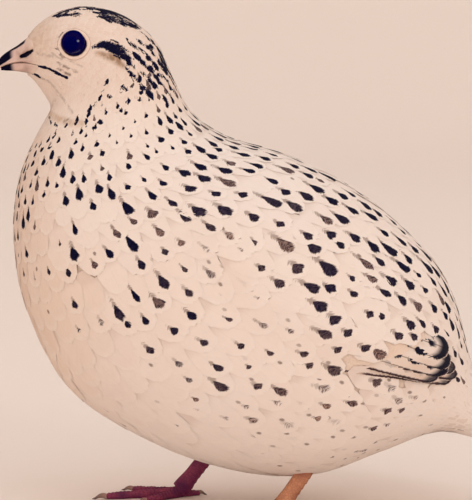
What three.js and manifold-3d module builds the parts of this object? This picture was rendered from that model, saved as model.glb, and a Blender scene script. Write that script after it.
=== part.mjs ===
// A standing quail, life size, in millimetres with +Z up. The bird faces -X, its left side faces -Y,
// and it stands on the plane z = 0. The dimensions below are measured from a point under its trunk,
// and the finished bird is moved so that the origin lies under the middle of its bounding box.
//
// The trunk, neck and head are one plumage solid whose contour feathers are raised as overlapping scales.
// The wings, tail, bill, eyes and legs are solids of their own, each bedded in the plumage with a small gap.

import * as THREE from "three";
import { mergeVertices } from "three/addons/utils/BufferGeometryUtils.js";
import Module from "manifold-3d";

const wasm = await Module();
wasm.setup();

// ---------------------------------------------------------------- driving dimensions

const GAP = 0.3; // between a piece and the plumage that it is bedded in
const FINE_GAP = 0.15; // the same for the bill and the eyes
const WELD = 2e-3; // vertices closer than this become one
const LEFT = -1; // sign of y on the bird's left side
const RIGHT = 1;

// Cross-sections of the plumage from the bill to the tail root. Each one is an oval that stands on the line
// from a point of the lower outline to a point of the upper outline: [upper x, z], [lower x, z], half width.
const SECTIONS = [
  { at: "bill base", upper: [-62.4, 137.2], lower: [-63.8, 127.5], half: 3.5 },
  { at: "forehead", upper: [-59.0, 141.0], lower: [-60.7, 125.2], half: 6.1 },
  { at: "brow", upper: [-53.0, 144.6], lower: [-57.7, 121.3], half: 9.4 },
  { at: "crown", upper: [-44.5, 146.1], lower: [-55.7, 117.6], half: 12.0 },
  { at: "hind crown", upper: [-34.2, 143.3], lower: [-56.3, 115.3], half: 13.0 },
  { at: "nape", upper: [-25.8, 136.5], lower: [-59.3, 110.0], half: 14.6 },
  { at: "neck", upper: [-20.9, 126.5], lower: [-63.5, 101.0], half: 18.5 },
  { at: "mantle", upper: [-15.5, 116.0], lower: [-66.0, 91.0], half: 24.5 },
  { at: "shoulders", upper: [-5.0, 108.6], lower: [-66.4, 77.5], half: 32.0 },
  { at: "back", upper: [12.0, 103.3], lower: [-62.8, 58.5], half: 37.6 },
  { at: "mid back", upper: [30.0, 94.5], lower: [-49.9, 35.0], half: 40.2 },
  { at: "lower back", upper: [44.7, 83.2], lower: [-24.9, 19.2], half: 39.6 },
  { at: "rump", upper: [55.5, 72.0], lower: [-1.0, 11.4], half: 35.6 },
  { at: "lower rump", upper: [61.6, 60.0], lower: [19.5, 10.5], half: 29.2 },
  { at: "tail coverts", upper: [65.2, 46.4], lower: [37.5, 16.5], half: 21.0 },
  { at: "vent", upper: [68.6, 34.5], lower: [54.5, 22.6], half: 12.5 },
  { at: "tail root", upper: [73.0, 24.6], lower: [66.0, 21.0], half: 6.5 },
];
const SECTION_FULLNESS = 0.9; // exponent on the width of each oval: below 1 makes its sides fuller
const TRUNK_FROM = 6; // the first section that the wings can reach

// Contour feathers of the plumage, as raised scales in rows round the bird.
const FEATHERS_AROUND = 18;
const ROW_PITCH = 0.86; // row spacing as a share of a feather's width
const LEAST_ROW = 4.4; // the closest row spacing
const FEATHER_RELIEF = 0.1; // height of a feather's tip as a share of its width
const RELIEF_SINK = 0.4; // share of that height by which the rows start below the smooth outline
const TIP_UNDERCUT = 0.1; // how far past its tip a feather drops to the next one, in row spacings
const FIRST_ROW = 0.55; // in sections from the bill base
const LAST_ROW = 15.5;

// Eyes: balls set into the sides of the head, inside a raised rim of eyelid.
const EYE = { x: -48.7, z: 136.6, radius: 4.2, sunk: 2.4, rim: 3.75, rimThick: 0.5 };

// Bill: stations from inside the face to the tip, [x, top z, bottom z, half width].
const UPPER_BILL = [
  [-56.8, 139.0, 129.3, 4.4],
  [-59.7, 138.2, 129.8, 4.0],
  [-62.4, 136.9, 130.1, 3.3],
  [-65.0, 135.0, 130.0, 2.6],
  [-67.3, 133.6, 129.6, 2.0],
  [-69.3, 132.2, 128.9, 1.25],
  [-70.5, 130.8, 128.3, 0.65],
  [-70.9, 129.5, 127.9, 0.25],
];
const LOWER_BILL = [
  [-57.4, 129.0, 126.3, 3.3],
  [-60.3, 129.4, 126.7, 3.0],
  [-63.2, 129.7, 127.2, 2.6],
  [-66.1, 129.5, 127.6, 1.9],
  [-68.4, 128.9, 127.7, 1.15],
  [-69.9, 128.3, 127.8, 0.5],
];

const BILL_SIDES = 8;
const MEETING_ARCH = 0.12; // share of each half's height on the side where the halves meet

// Wings: the folded wing's outline seen from the side, [x, z], from the shoulder to the tip.
const WING_UPPER_EDGE = [
  [-19.1, 91.6],
  [-11.3, 99.2],
  [1.7, 99.4],
  [16.2, 94.8],
  [30.7, 86.0],
  [43.8, 73.6],
  [54.0, 59.2],
  [61.0, 45.8],
];
const WING_LOWER_EDGE = [
  [-19.1, 91.6],
  [-16.8, 78.9],
  [-8.4, 65.5],
  [5.2, 54.8],
  [19.1, 47.0],
  [33.6, 42.9],
  [48.1, 39.9],
  [61.0, 38.0],
];
const WING_THICKNESS = 2.0; // of the covert-covered part, above the plumage
const WING_EDGE = 0.7; // the same at the wing's edges
const WING_SUNK = 1.2; // how deep the wing is bedded in the plumage
const WING_FROM = 0.03; // share of the wing's length where its first ring lies
const WING_TO = 0.66; // and its last one, where the flight feathers come out
const COVERTS_ACROSS = 5;
const COVERT_ROWS = 7;
const COVERT_RELIEF = 0.8;
const WING_WAVE = [0.12, 0.8]; // the half wave of the wing's thickness: its start, and its length
const COVERT_MARGIN = 0.12; // of plain wing above and below the coverts, in covert widths
const BED_STEPS = 14; // of the hollow in the plumage that the wing lies in
const BED_HEADROOM = 7;
const BED_CLEARANCE = 0.5; // between the floor of that hollow and the wing
const UNDERSIDE = [1, 0.75, 0.5, 0.25, 0]; // shares up the wing where its flat underside has points
const BED_MARGIN = 0.6; // of that hollow round the wing's outline
// Flight feathers of the folded wing, the topmost first: where the root and the tip lie, seen from the side,
// the half width, and how far the tip stands above the plumage.
const FLIGHT_FEATHERS = [
  { name: "tertial", root: [12.0, 87.0], tip: [46.5, 67.0], half: 6.4, lift: 4.2 },
  { name: "tertial", root: [12.0, 81.5], tip: [50.5, 60.5], half: 6.2, lift: 3.9 },
  { name: "tertial", root: [12.0, 75.5], tip: [54.0, 54.5], half: 5.8, lift: 3.6 },
  { name: "tertial", root: [12.0, 69.5], tip: [57.0, 49.5], half: 5.2, lift: 3.3 },
  { name: "secondary", root: [12.0, 64.0], tip: [57.5, 46.3], half: 4.4, lift: 3.0 },
  { name: "secondary", root: [12.0, 59.0], tip: [56.4, 44.2], half: 3.8, lift: 2.7 },
  { name: "secondary", root: [13.5, 54.5], tip: [54.0, 42.6], half: 3.3, lift: 2.4 },
  { name: "primary", root: [25.0, 56.5], tip: [59.6, 43.8], half: 2.8, lift: 2.1 },
  { name: "primary", root: [22.0, 51.8], tip: [60.4, 41.9], half: 2.6, lift: 1.7 },
  { name: "primary", root: [19.1, 48.8], tip: [58.6, 40.6], half: 2.4, lift: 1.3 },
];
const FLIGHT_STEPS = 5;
const SHAFT_BULGE = 1.5; // how far the shaft of a flight feather bows upwards
const ROOT_STAND = 0.2; // how far its root stands out of the plumage
const FULL_STAND_AT = 0.6; // share of its length where it stands out by its whole lift
const FEATHER_THICKNESS = 0.8;
const FEATHER_ARCH = 0.5; // how far a feather's shaft stands above its edges

// Tail: short feathers in a roof-like fan that slopes down behind the bird.
const TAIL_ROOT = [55.5, 35.5]; // x, z
const TAIL_TIP = [78.5, 19.5];
const TAIL_PAIRS = 5;
const TAIL_FAN_DEG = 24; // from the middle of the tail to its outermost feather
const TAIL_INNER_DEG = 3; // the same to its innermost ones
const TAIL_LEAN_DEG = 30; // how far the outermost feather leans outwards
const TAIL_DROOP = 0.95; // how far each feather lies below the one inside it
const TAIL_OFFSET = 0.35; // how far each left feather lies below its right one
const TAIL_ROOTS = [0.6, 3.2]; // how far the innermost and outermost roots stand from the middle
const TAIL_OUTER_SHARE = 0.86; // length of the outermost feather as a share of the innermost
const TAIL_HALF_WIDTH = 3.3;
const TAIL_ROOT_HALF_WIDTH = 2.2;
const TAIL_STATIONS = [0, 0.5, 0.88, 1]; // shares of a tail feather's length where its sections lie

// Legs: the bare shank from inside the belly plumage down to the foot, then four toes with claws.
const SHANK_HALF = [2.2, 1.8]; // fore and aft, and sideways
const LEGS = [
  { name: "leg_left", side: LEFT, hip: [23.4, 22.0], foot: [10.2, -14.0], heading: 6 },
  { name: "leg_right", side: RIGHT, hip: [-3.4, 22.0], foot: [-18.8, 13.6], heading: 8 },
];
const SHANK_SCUTES = 5; // broad scales down the front of the shank
const SCUTE_RELIEF = 0.14;
const FOOT_HEIGHT = 2.3; // of the shank's lower end above the ground
const HEEL_RADIUS = 2.1; // of the ball that the toes grow from
const SOLE_SUNK = 0.3; // how much of each toe's round underside is pressed flat on the ground
// Toes: the turn outwards from the foot's heading, the length to the claw, and the radius at each end.
const TOES = [
  { name: "inner", turn: -36, length: 14.5, from: 1.45, to: 0.95, joints: 2 },
  { name: "middle", turn: -2, length: 23.0, from: 1.6, to: 1.0, joints: 3 },
  { name: "outer", turn: 34, length: 16.5, from: 1.45, to: 0.9, joints: 4 },
  { name: "hind", turn: 170, length: 6.0, from: 1.2, to: 0.8, joints: 1 },
];
const CLAW_LENGTH = 4.6;
const HIND_CLAW_LENGTH = 3.2;
const CLAW_STATIONS = [0, 0.4, 0.75, 1]; // shares of a claw's length
const CLAW_RADII = [0.8, 0.6, 0.36, 0.12]; // its radius there, in toe tips
const TOE_PADS = [0.9, 1.08]; // a toe's radius between its pads and at them, in its own measure

// Colours
const PLUMAGE_COLOUR = 0xf0d9c8;
const FEATHER_COLOUR = 0xe9d2c0;
const HORN_COLOUR = 0xc9a193;
const EYE_COLOUR = 0x0c0a26;
const LEG_COLOUR = 0xb9714f;
const DARK_LEG_COLOUR = 0x7a3440;

// ---------------------------------------------------------------- small tools

const lerp = THREE.MathUtils.lerp;
const rad = THREE.MathUtils.degToRad;
const vec = (x, y, z) => new THREE.Vector3(x, y, z);
const turned = (axis, deg) => new THREE.Quaternion().setFromAxisAngle(axis.clone().normalize(), rad(deg));

// A smooth curve through rows of numbers: the row at place t, counted from 0.
function through(rows, t) {
  const last = rows.length - 1;
  const i = Math.min(Math.max(Math.floor(t), 0), last - 1);
  const f = t - i;
  const at = (k) => rows[Math.min(Math.max(k, 0), last)];
  const [a, b, c, d] = [at(i - 1), at(i), at(i + 1), at(i + 2)];
  return b.map((_, k) => {
    const slopeIn = (c[k] - a[k]) / 2;
    const slopeOut = (d[k] - b[k]) / 2;
    const rise = c[k] - b[k];
    const square = 3 * rise - 2 * slopeIn - slopeOut;
    const cube = slopeIn + slopeOut - 2 * rise;
    return b[k] + f * (slopeIn + f * (square + f * cube));
  });
}

// A closed mesh over rings of points, all with the same number of points, with a fan on each end.
function loft(rings) {
  const around = rings[0].length;
  const positions = [];
  const put = (p) => positions.push(p.x, p.y, p.z);
  rings.forEach((ring) => ring.forEach(put));
  const faces = [];
  for (let i = 0; i + 1 < rings.length; i++)
    for (let j = 0; j < around; j++) {
      const [a, b] = [i * around + j, i * around + ((j + 1) % around)];
      faces.push(a, b, b + around, a, b + around, a + around);
    }
  const centroid = (ring) => ring.reduce((sum, p) => sum.add(p), vec(0, 0, 0)).divideScalar(around);
  put(centroid(rings[0]));
  put(centroid(rings[rings.length - 1]));
  const [first, last] = [rings.length * around, rings.length * around + 1];
  const end = (rings.length - 1) * around;
  for (let j = 0; j < around; j++) {
    const next = (j + 1) % around;
    faces.push(first, next, j, last, end + j, end + next);
  }
  const geometry = new THREE.BufferGeometry();
  geometry.setAttribute("position", new THREE.Float32BufferAttribute(positions, 3));
  geometry.setIndex(faces);
  return geometry;
}

// The manifold-3d solid of a closed geometry, turned outside out if its faces point inwards.
function solid(geometry) {
  const bare = geometry.clone();
  ["normal", "uv"].forEach((name) => bare.deleteAttribute(name));
  const merged = mergeVertices(bare, WELD);
  const position = merged.getAttribute("position");
  const faces = Uint32Array.from(merged.index.array);
  const [a, b, c] = [vec(0, 0, 0), vec(0, 0, 0), vec(0, 0, 0)];
  let volume = 0;
  for (let i = 0; i < faces.length; i += 3) {
    a.fromBufferAttribute(position, faces[i]);
    b.fromBufferAttribute(position, faces[i + 1]);
    c.fromBufferAttribute(position, faces[i + 2]);
    volume += a.dot(b.cross(c));
  }
  const flip = volume < 0;
  for (let i = 0; flip && i < faces.length; i += 3) [faces[i], faces[i + 1]] = [faces[i + 1], faces[i]];
  return new wasm.Manifold(
    new wasm.Mesh({ numProp: 3, vertProperties: Float32Array.from(position.array), triVerts: faces }),
  );
}

function geometryOf(whole) {
  const { numProp, vertProperties, triVerts } = whole.getMesh();
  const positions = new Float32Array((vertProperties.length / numProp) * 3);
  for (let i = 0; i * numProp < vertProperties.length; i++)
    positions.set(vertProperties.subarray(i * numProp, i * numProp + 3), i * 3);
  const geometry = new THREE.BufferGeometry();
  geometry.setAttribute("position", new THREE.BufferAttribute(positions, 3));
  geometry.setIndex(new THREE.BufferAttribute(triVerts, 1));
  return geometry;
}

// The main body of a joined solid, welded, without the small hollows that overlapping feathers close off.
const largest = (whole) => solid(geometryOf(whole)).decompose().sort((a, b) => b.volume() - a.volume())[0];
const join = (solids) => largest(solids.reduce((whole, piece) => whole.add(piece)));

function mesh(name, whole, colour, roughness) {
  const geometry = geometryOf(whole);
  geometry.computeVertexNormals();
  const look = { color: colour, roughness, metalness: 0, flatShading: true };
  const material = new THREE.MeshStandardMaterial(look);
  const made = new THREE.Mesh(geometry, material);
  made.name = name;
  return made;
}

// ---------------------------------------------------------------- the plumage surface

const SECTION_ROWS = SECTIONS.map(({ upper, lower, half }) => [...upper, ...lower, half]);

// The point of the smooth plumage at section s, counted from the bill, and angle theta round it.
// Theta is 0 on the upper outline, and positive on the right side.
function surface(s, theta) {
  const [ux, uz, lx, lz, half] = through(SECTION_ROWS, s);
  const c = Math.cos(theta);
  const sine = Math.sin(theta);
  const y = half * Math.sign(sine) * Math.abs(sine) ** SECTION_FULLNESS;
  return vec(lerp(lx, ux, (1 + c) / 2), y, lerp(lz, uz, (1 + c) / 2));
}

function normalAt(s, theta) {
  const [ds, dt] = [0.02, 0.02];
  const along = surface(s + ds, theta).sub(surface(s - ds, theta));
  const round = surface(s, theta + dt).sub(surface(s, theta - dt));
  return along.cross(round).normalize();
}

const lifted = (s, theta, lift) => surface(s, theta).addScaledVector(normalAt(s, theta), lift);

// The section and angle of the plumage that is seen at x, z from the side.
function placeOf(x, z, side) {
  const across = (s) => {
    const [ux, uz, lx, lz] = through(SECTION_ROWS, s);
    return (ux - lx) * (z - lz) - (uz - lz) * (x - lx);
  };
  let [low, high] = [TRUNK_FROM, SECTIONS.length - 1];
  for (let i = 0; i < 40; i++) {
    const s = (low + high) / 2;
    if (across(s) > 0 === across(low) > 0) low = s;
    else high = s;
  }
  const [ux, uz, lx, lz] = through(SECTION_ROWS, low);
  const share = ((x - lx) * (ux - lx) + (z - lz) * (uz - lz)) / ((ux - lx) ** 2 + (uz - lz) ** 2);
  return [low, side * Math.acos(THREE.MathUtils.clamp(2 * share - 1, -1, 1))];
}

const onSide = (x, z, side, lift) => lifted(...placeOf(x, z, side), lift);

// ---------------------------------------------------------------- contour feathers

// A feather's free edge across its width: [across, how far back from the tip in row spacings, height].
const STRAIGHT_ROW = [
  [0.0, 0.5, 0.3],
  [0.26, 0.1, 0.9],
  [0.74, 0.1, 0.9],
];
const STAGGERED_ROW = [
  [0.24, 0.1, 0.9],
  [0.5, 0.5, 0.3],
  [0.76, 0.1, 0.9],
];

function featherWidth(s) {
  const [ux, uz, lx, lz, half] = through(SECTION_ROWS, s);
  const tall = Math.hypot(ux - lx, uz - lz) / 2;
  return (2 * Math.PI * Math.sqrt((tall ** 2 + half ** 2) / 2)) / FEATHERS_AROUND;
}

// The spacing of the feather rows at s, in sections.
function rowSpacing(s) {
  const step = 0.05;
  const angles = [0, 0.25, 0.5, 0.75, 1].map((share) => share * Math.PI);
  const moved = angles.map((theta) => surface(s + step, theta).distanceTo(surface(s, theta)));
  const perSection = moved.reduce((sum, d) => sum + d) / moved.length / step;
  return Math.max(ROW_PITCH * featherWidth(s), LEAST_ROW) / perSection;
}

// One ring along the free edges of a row of feathers, or just past them where the next row starts.
function featherRing(s, edge, past) {
  const spacing = rowSpacing(s);
  const height = FEATHER_RELIEF * featherWidth(s);
  const ring = [];
  for (let j = 0; j < FEATHERS_AROUND; j++)
    for (const [across, back, rise] of edge) {
      const theta = ((j + across) * 2 * Math.PI) / FEATHERS_AROUND;
      const lift = height * ((past ? 0 : rise) - RELIEF_SINK);
      ring.push(lifted(s + spacing * ((past ? TIP_UNDERCUT : 0) - back), theta, lift));
    }
  return ring;
}

function plumage() {
  const rings = [];
  let staggered = false;
  for (let s = FIRST_ROW; s < LAST_ROW; s += rowSpacing(s)) {
    const edge = staggered ? STAGGERED_ROW : STRAIGHT_ROW;
    rings.push(featherRing(s, edge, false), featherRing(s, edge, true));
    staggered = !staggered;
  }
  const plain = (s, lift) => rings[0].map((_, k) => lifted(s, (k * 2 * Math.PI) / rings[0].length, lift));
  return solid(loft([plain(0, 0), ...rings, plain(SECTIONS.length - 1, 0)]));
}

// ---------------------------------------------------------------- head

function eyePlace(side) {
  const [s, theta] = placeOnHead(EYE.x, EYE.z, side);
  return { centre: lifted(s, theta, -EYE.sunk), out: normalAt(s, theta), rim: surface(s, theta) };
}

// As placeOf, for the head, whose sections run from the bill base to the neck.
function placeOnHead(x, z, side) {
  let best = [0, 0, Infinity];
  for (let s = 0; s < TRUNK_FROM; s += 0.02)
    for (let theta = 0; theta < Math.PI; theta += 0.02) {
      const p = surface(s, side * theta);
      const miss = Math.hypot(p.x - x, p.z - z);
      if (miss < best[2]) best = [s, side * theta, miss];
    }
  return best.slice(0, 2);
}

function eyeball(side, grow) {
  const { centre } = eyePlace(side);
  const ball = new THREE.SphereGeometry(EYE.radius + grow, 14, 8);
  return solid(ball.rotateX(Math.PI / 2).translate(centre.x, centre.y, centre.z));
}

function eyelid(side) {
  const { out, rim } = eyePlace(side);
  const ring = new THREE.TorusGeometry(EYE.rim, EYE.rimThick, 5, 14);
  const turn = new THREE.Quaternion().setFromUnitVectors(vec(0, 0, 1), out);
  return solid(ring.applyQuaternion(turn).translate(rim.x, rim.y, rim.z));
}

// Both halves of the bill: a deep arch on the outer side, and a shallow one where the halves meet.
function mandible(stations, grow, outer) {
  const rings = stations.map(([x, top, bottom, half]) => {
    const widest = outer > 0 ? lerp(bottom, top, MEETING_ARCH) : lerp(top, bottom, MEETING_ARCH);
    return Array.from({ length: BILL_SIDES }, (_, k) => {
      const angle = ((k + 0.5) * 2 * Math.PI) / BILL_SIDES;
      const rise = Math.sin(angle);
      const tall = rise > 0 ? top - widest : widest - bottom;
      return vec(x, Math.cos(angle) * (half + grow), widest + rise * (tall + grow));
    });
  });
  return solid(loft(rings));
}

const upperBill = (grow) => mandible(UPPER_BILL, grow, 1);
const lowerBill = (grow) => mandible(LOWER_BILL, grow, -1);

// ---------------------------------------------------------------- feathers as blades

// A long feather over frames along its shaft, each { centre, across, up, half }.
function blade(frames, grow) {
  const thick = FEATHER_THICKNESS + 2 * grow;
  const rings = frames.map(({ centre, across, up, half }) => {
    const at = (sideways, height) =>
      centre.clone().addScaledVector(across, sideways * (half + grow)).addScaledVector(up, height + grow);
    const arch = FEATHER_ARCH * Math.min(1, half / 2);
    return [at(-1, 0), at(0, arch), at(1, 0), at(1, -thick), at(-1, -thick)];
  });
  return solid(loft(rings));
}

// The half width of a feather at share t of its length: a slim root, full sides and a round tip.
const vane = (t) => 0.45 + 0.55 * Math.min(1, t / 0.35);
const tipRound = (t) => Math.sqrt(Math.max(0.04, 1 - Math.max(0, (t - 0.82) / 0.18) ** 2));

// ---------------------------------------------------------------- wings

const wingUpper = (a) => through(WING_UPPER_EDGE, a * (WING_UPPER_EDGE.length - 1));
const wingLower = (a) => through(WING_LOWER_EDGE, a * (WING_LOWER_EDGE.length - 1));

// A point of the folded wing at share a of its length and share b up its side.
function wingPoint(a, b, side, lift) {
  const [low, high] = [wingLower(a), wingUpper(a)];
  return onSide(lerp(low[0], high[0], b), lerp(low[1], high[1], b), side, lift);
}

// One ring round the covert-covered part: over it from the lower edge to the upper one, and back underneath.
function wingRing(a, edge, past, side) {
  const spacing = (WING_TO - WING_FROM) / COVERT_ROWS;
  const swell = Math.sin(Math.PI * Math.min(1, a / WING_WAVE[1] + WING_WAVE[0])) ** 0.5;
  const ring = [];
  const top = (b, back, rise) => {
    const hump = Math.sqrt(Math.max(0, 1 - (2 * b - 1) ** 4));
    const body = lerp(WING_EDGE, WING_THICKNESS, hump * swell);
    const relief = COVERT_RELIEF * hump * ((past ? 0 : rise) - RELIEF_SINK);
    const place = Math.max(WING_FROM / 2, a + spacing * ((past ? TIP_UNDERCUT : 0) - back));
    ring.push(wingPoint(place, b, side, body + relief));
  };
  top(0, 0.3, 0);
  for (let j = 0; j < COVERTS_ACROSS; j++)
    for (const [across, back, rise] of edge) {
      top((j + across + COVERT_MARGIN) / (COVERTS_ACROSS + 2 * COVERT_MARGIN), back, rise);
    }
  top(1, 0.3, 0);
  for (const b of UNDERSIDE) ring.push(wingPoint(a, b, side, -WING_SUNK));
  return ring;
}

function coverts(side) {
  const rings = [];
  for (let i = 0; i <= COVERT_ROWS; i++) {
    const a = lerp(WING_FROM, WING_TO, i / COVERT_ROWS);
    const edge = i % 2 ? STAGGERED_ROW : STRAIGHT_ROW;
    rings.push(wingRing(a, edge, false, side), wingRing(a, edge, true, side));
  }
  return solid(loft(rings));
}

function flightFeather({ root, tip, half, lift }, side) {
  const frames = [];
  for (let i = 0; i <= FLIGHT_STEPS; i++) {
    const t = i / FLIGHT_STEPS;
    const [x, z] = [lerp(root[0], tip[0], t), lerp(root[1], tip[1], t) + SHAFT_BULGE * Math.sin(Math.PI * t)];
    const [s, theta] = placeOf(x, z, side);
    const up = normalAt(s, theta);
    const [ahead, down] = [(tip[0] - root[0]) * 0.02, (tip[1] - root[1]) * 0.02];
    const shaft = onSide(x + ahead, z + down, side, 0).sub(surface(s, theta));
    const across = up.clone().cross(shaft).normalize();
    const height = lerp(ROOT_STAND, lift, Math.min(1, t / FULL_STAND_AT));
    frames.push({ centre: lifted(s, theta, height), across, up, half: half * vane(t) * tipRound(t) });
  }
  return blade(frames, 0);
}

const wing = (side) => join([coverts(side), ...FLIGHT_FEATHERS.map((f) => flightFeather(f, side))]);

// The hollow in the plumage that the wing lies in.
function wingBed(side) {
  const rings = [];
  for (let i = 0; i <= BED_STEPS; i++) {
    const a = lerp(WING_FROM / 2 - 0.012, 1, i / BED_STEPS);
    const [low, high] = [wingLower(a), wingUpper(a)];
    const margin = BED_MARGIN / Math.max(1, Math.hypot(high[0] - low[0], high[1] - low[1]));
    const at = (b, lift) => wingPoint(a, lerp(-margin, 1 + margin, b), side, lift);
    const floor = UNDERSIDE.map((b) => at(b, -WING_SUNK - BED_CLEARANCE));
    const roof = UNDERSIDE.toReversed().map((b) => at(b, BED_HEADROOM));
    rings.push([...floor, ...roof]);
  }
  return solid(loft(rings));
}

// ---------------------------------------------------------------- tail

function tail(grow) {
  const [root, tip] = [vec(TAIL_ROOT[0], 0, TAIL_ROOT[1]), vec(TAIL_TIP[0], 0, TAIL_TIP[1])];
  const shaft = tip.clone().sub(root);
  const up = vec(-shaft.z, 0, shaft.x).normalize();
  const feathers = [];
  for (let pair = 0; pair < TAIL_PAIRS; pair++)
    for (const side of [LEFT, RIGHT]) {
      const share = pair / (TAIL_PAIRS - 1);
      const turn = turned(up, -side * lerp(TAIL_INNER_DEG, TAIL_FAN_DEG, share));
      const lean = turned(shaft, -side * lerp(TAIL_INNER_DEG, TAIL_LEAN_DEG, share));
      const along = shaft.clone().multiplyScalar(lerp(1, TAIL_OUTER_SHARE, share)).applyQuaternion(turn);
      const top = up.clone().applyQuaternion(lean);
      const across = top.clone().cross(along).normalize();
      const below = TAIL_DROOP * pair + (side === LEFT ? TAIL_OFFSET : 0);
      const from = root.clone().addScaledVector(up, -below);
      from.y += side * lerp(...TAIL_ROOTS, share);
      const frames = TAIL_STATIONS.map((t) => ({
        centre: from.clone().addScaledVector(along, t),
        across,
        up: top,
        half: lerp(TAIL_ROOT_HALF_WIDTH, TAIL_HALF_WIDTH, Math.min(1, t / 0.6)) * tipRound(t),
      }));
      feathers.push(blade(frames, grow));
    }
  return join(feathers);
}

// ---------------------------------------------------------------- legs

// A limb with oval sections at points of a path: radii is one [across, up] for each point.
function limb(path, radii, sides) {
  const rings = path.map((p, i) => {
    const [before, after] = [path[Math.max(i - 1, 0)], path[Math.min(i + 1, path.length - 1)]];
    const along = after.clone().sub(before).normalize();
    const across = (Math.abs(along.z) > 0.7 ? vec(0, 1, 0) : vec(0, 0, 1)).cross(along).normalize();
    const up = along.clone().cross(across);
    return Array.from({ length: sides }, (_, k) => {
      const angle = ((k + 0.5) * 2 * Math.PI) / sides;
      return p
        .clone()
        .addScaledVector(across, Math.cos(angle) * radii[i][0])
        .addScaledVector(up, Math.sin(angle) * radii[i][1]);
    });
  });
  return solid(loft(rings));
}

function shank({ hip, foot, side }, grow) {
  const top = vec(hip[0], foot[1], hip[1] + grow);
  const bottom = vec(foot[0], foot[1], FOOT_HEIGHT);
  const steps = 2 * SHANK_SCUTES;
  const path = Array.from({ length: steps + 1 }, (_, i) => top.clone().lerp(bottom, i / steps));
  const radii = path.map((_, i) => SHANK_HALF.map((r) => r + grow + (i % 2 ? SCUTE_RELIEF : 0)));
  return limb(path, radii, 8);
}

function toe({ turn, length, from, to, joints, name }, { foot, side, heading }) {
  const angle = rad(180 + side * (heading - turn));
  const ahead = vec(Math.cos(angle), Math.sin(angle), 0);
  const steps = 2 * joints + 1;
  const start = vec(foot[0], foot[1], 0);
  const path = [];
  const radii = [];
  for (let i = 0; i <= steps; i++) {
    const t = i / steps;
    const r = lerp(from, to, t) * TOE_PADS[i % 2];
    path.push(start.clone().addScaledVector(ahead, t * length).setZ(r - SOLE_SUNK));
    radii.push([r, r]);
  }
  const clawLength = name === "hind" ? HIND_CLAW_LENGTH : CLAW_LENGTH;
  const clawPath = CLAW_STATIONS.map((t) =>
    start
      .clone()
      .addScaledVector(ahead, length - 0.8 + t * clawLength)
      .setZ(to * 0.9 - SOLE_SUNK + 0.5 * Math.sin(Math.PI * Math.min(1, t * 1.3)) - 0.25 * t),
  );
  const clawRadii = CLAW_RADII.map((r) => [r * to * 0.85, r * to]);
  return limb(path, radii, 6).add(limb(clawPath, clawRadii, 5));
}

function leg(which) {
  const ball = new THREE.SphereGeometry(HEEL_RADIUS, 10, 6);
  const heel = solid(ball.translate(which.foot[0], which.foot[1], HEEL_RADIUS - SOLE_SUNK));
  const whole = join([shank(which, 0), heel, ...TOES.map((t) => toe(t, which))]);
  const ground = new THREE.BoxGeometry(200, 200, 20).translate(0, 0, -10);
  return whole.subtract(solid(ground));
}

// ---------------------------------------------------------------- the bird

const body = largest(
  [
    ...[LEFT, RIGHT].map((side) => wingBed(side)),
    ...[LEFT, RIGHT].map((side) => eyeball(side, FINE_GAP)),
    upperBill(FINE_GAP),
    lowerBill(FINE_GAP),
    tail(GAP),
    ...LEGS.map((which) => shank(which, GAP)),
  ].reduce((whole, bed) => whole.subtract(bed), join([plumage(), eyelid(LEFT), eyelid(RIGHT)])),
);

const quail = new THREE.Group();
quail.add(
  mesh("body", body, PLUMAGE_COLOUR, 0.9),
  mesh("wing_left", wing(LEFT), FEATHER_COLOUR, 0.85),
  mesh("wing_right", wing(RIGHT), FEATHER_COLOUR, 0.85),
  mesh("tail", tail(0), FEATHER_COLOUR, 0.85),
  mesh("bill_upper", upperBill(0), HORN_COLOUR, 0.45),
  mesh("bill_lower", lowerBill(0), HORN_COLOUR, 0.45),
  mesh("eye_left", eyeball(LEFT, 0), EYE_COLOUR, 0.05),
  mesh("eye_right", eyeball(RIGHT, 0), EYE_COLOUR, 0.05),
  mesh("leg_left", leg(LEGS[0]), LEG_COLOUR, 0.6),
  mesh("leg_right", leg(LEGS[1]), DARK_LEG_COLOUR, 0.6),
);

const box = new THREE.Box3().setFromObject(quail);
const middle = box.getCenter(vec(0, 0, 0));
quail.position.set(-middle.x, -middle.y, -box.min.z);

export default quail;
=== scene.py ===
"""A standing white quail with dark speckles, dressed over its CAD frame.

Sizes are in millimetres in the bird's own measure, as in its CAD source, and become metres in the frame when a mesh
is made. The bird faces -X and its left side faces -Y. Every feather is a thin closed leaf that follows the plumage.
"""

import math

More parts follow.
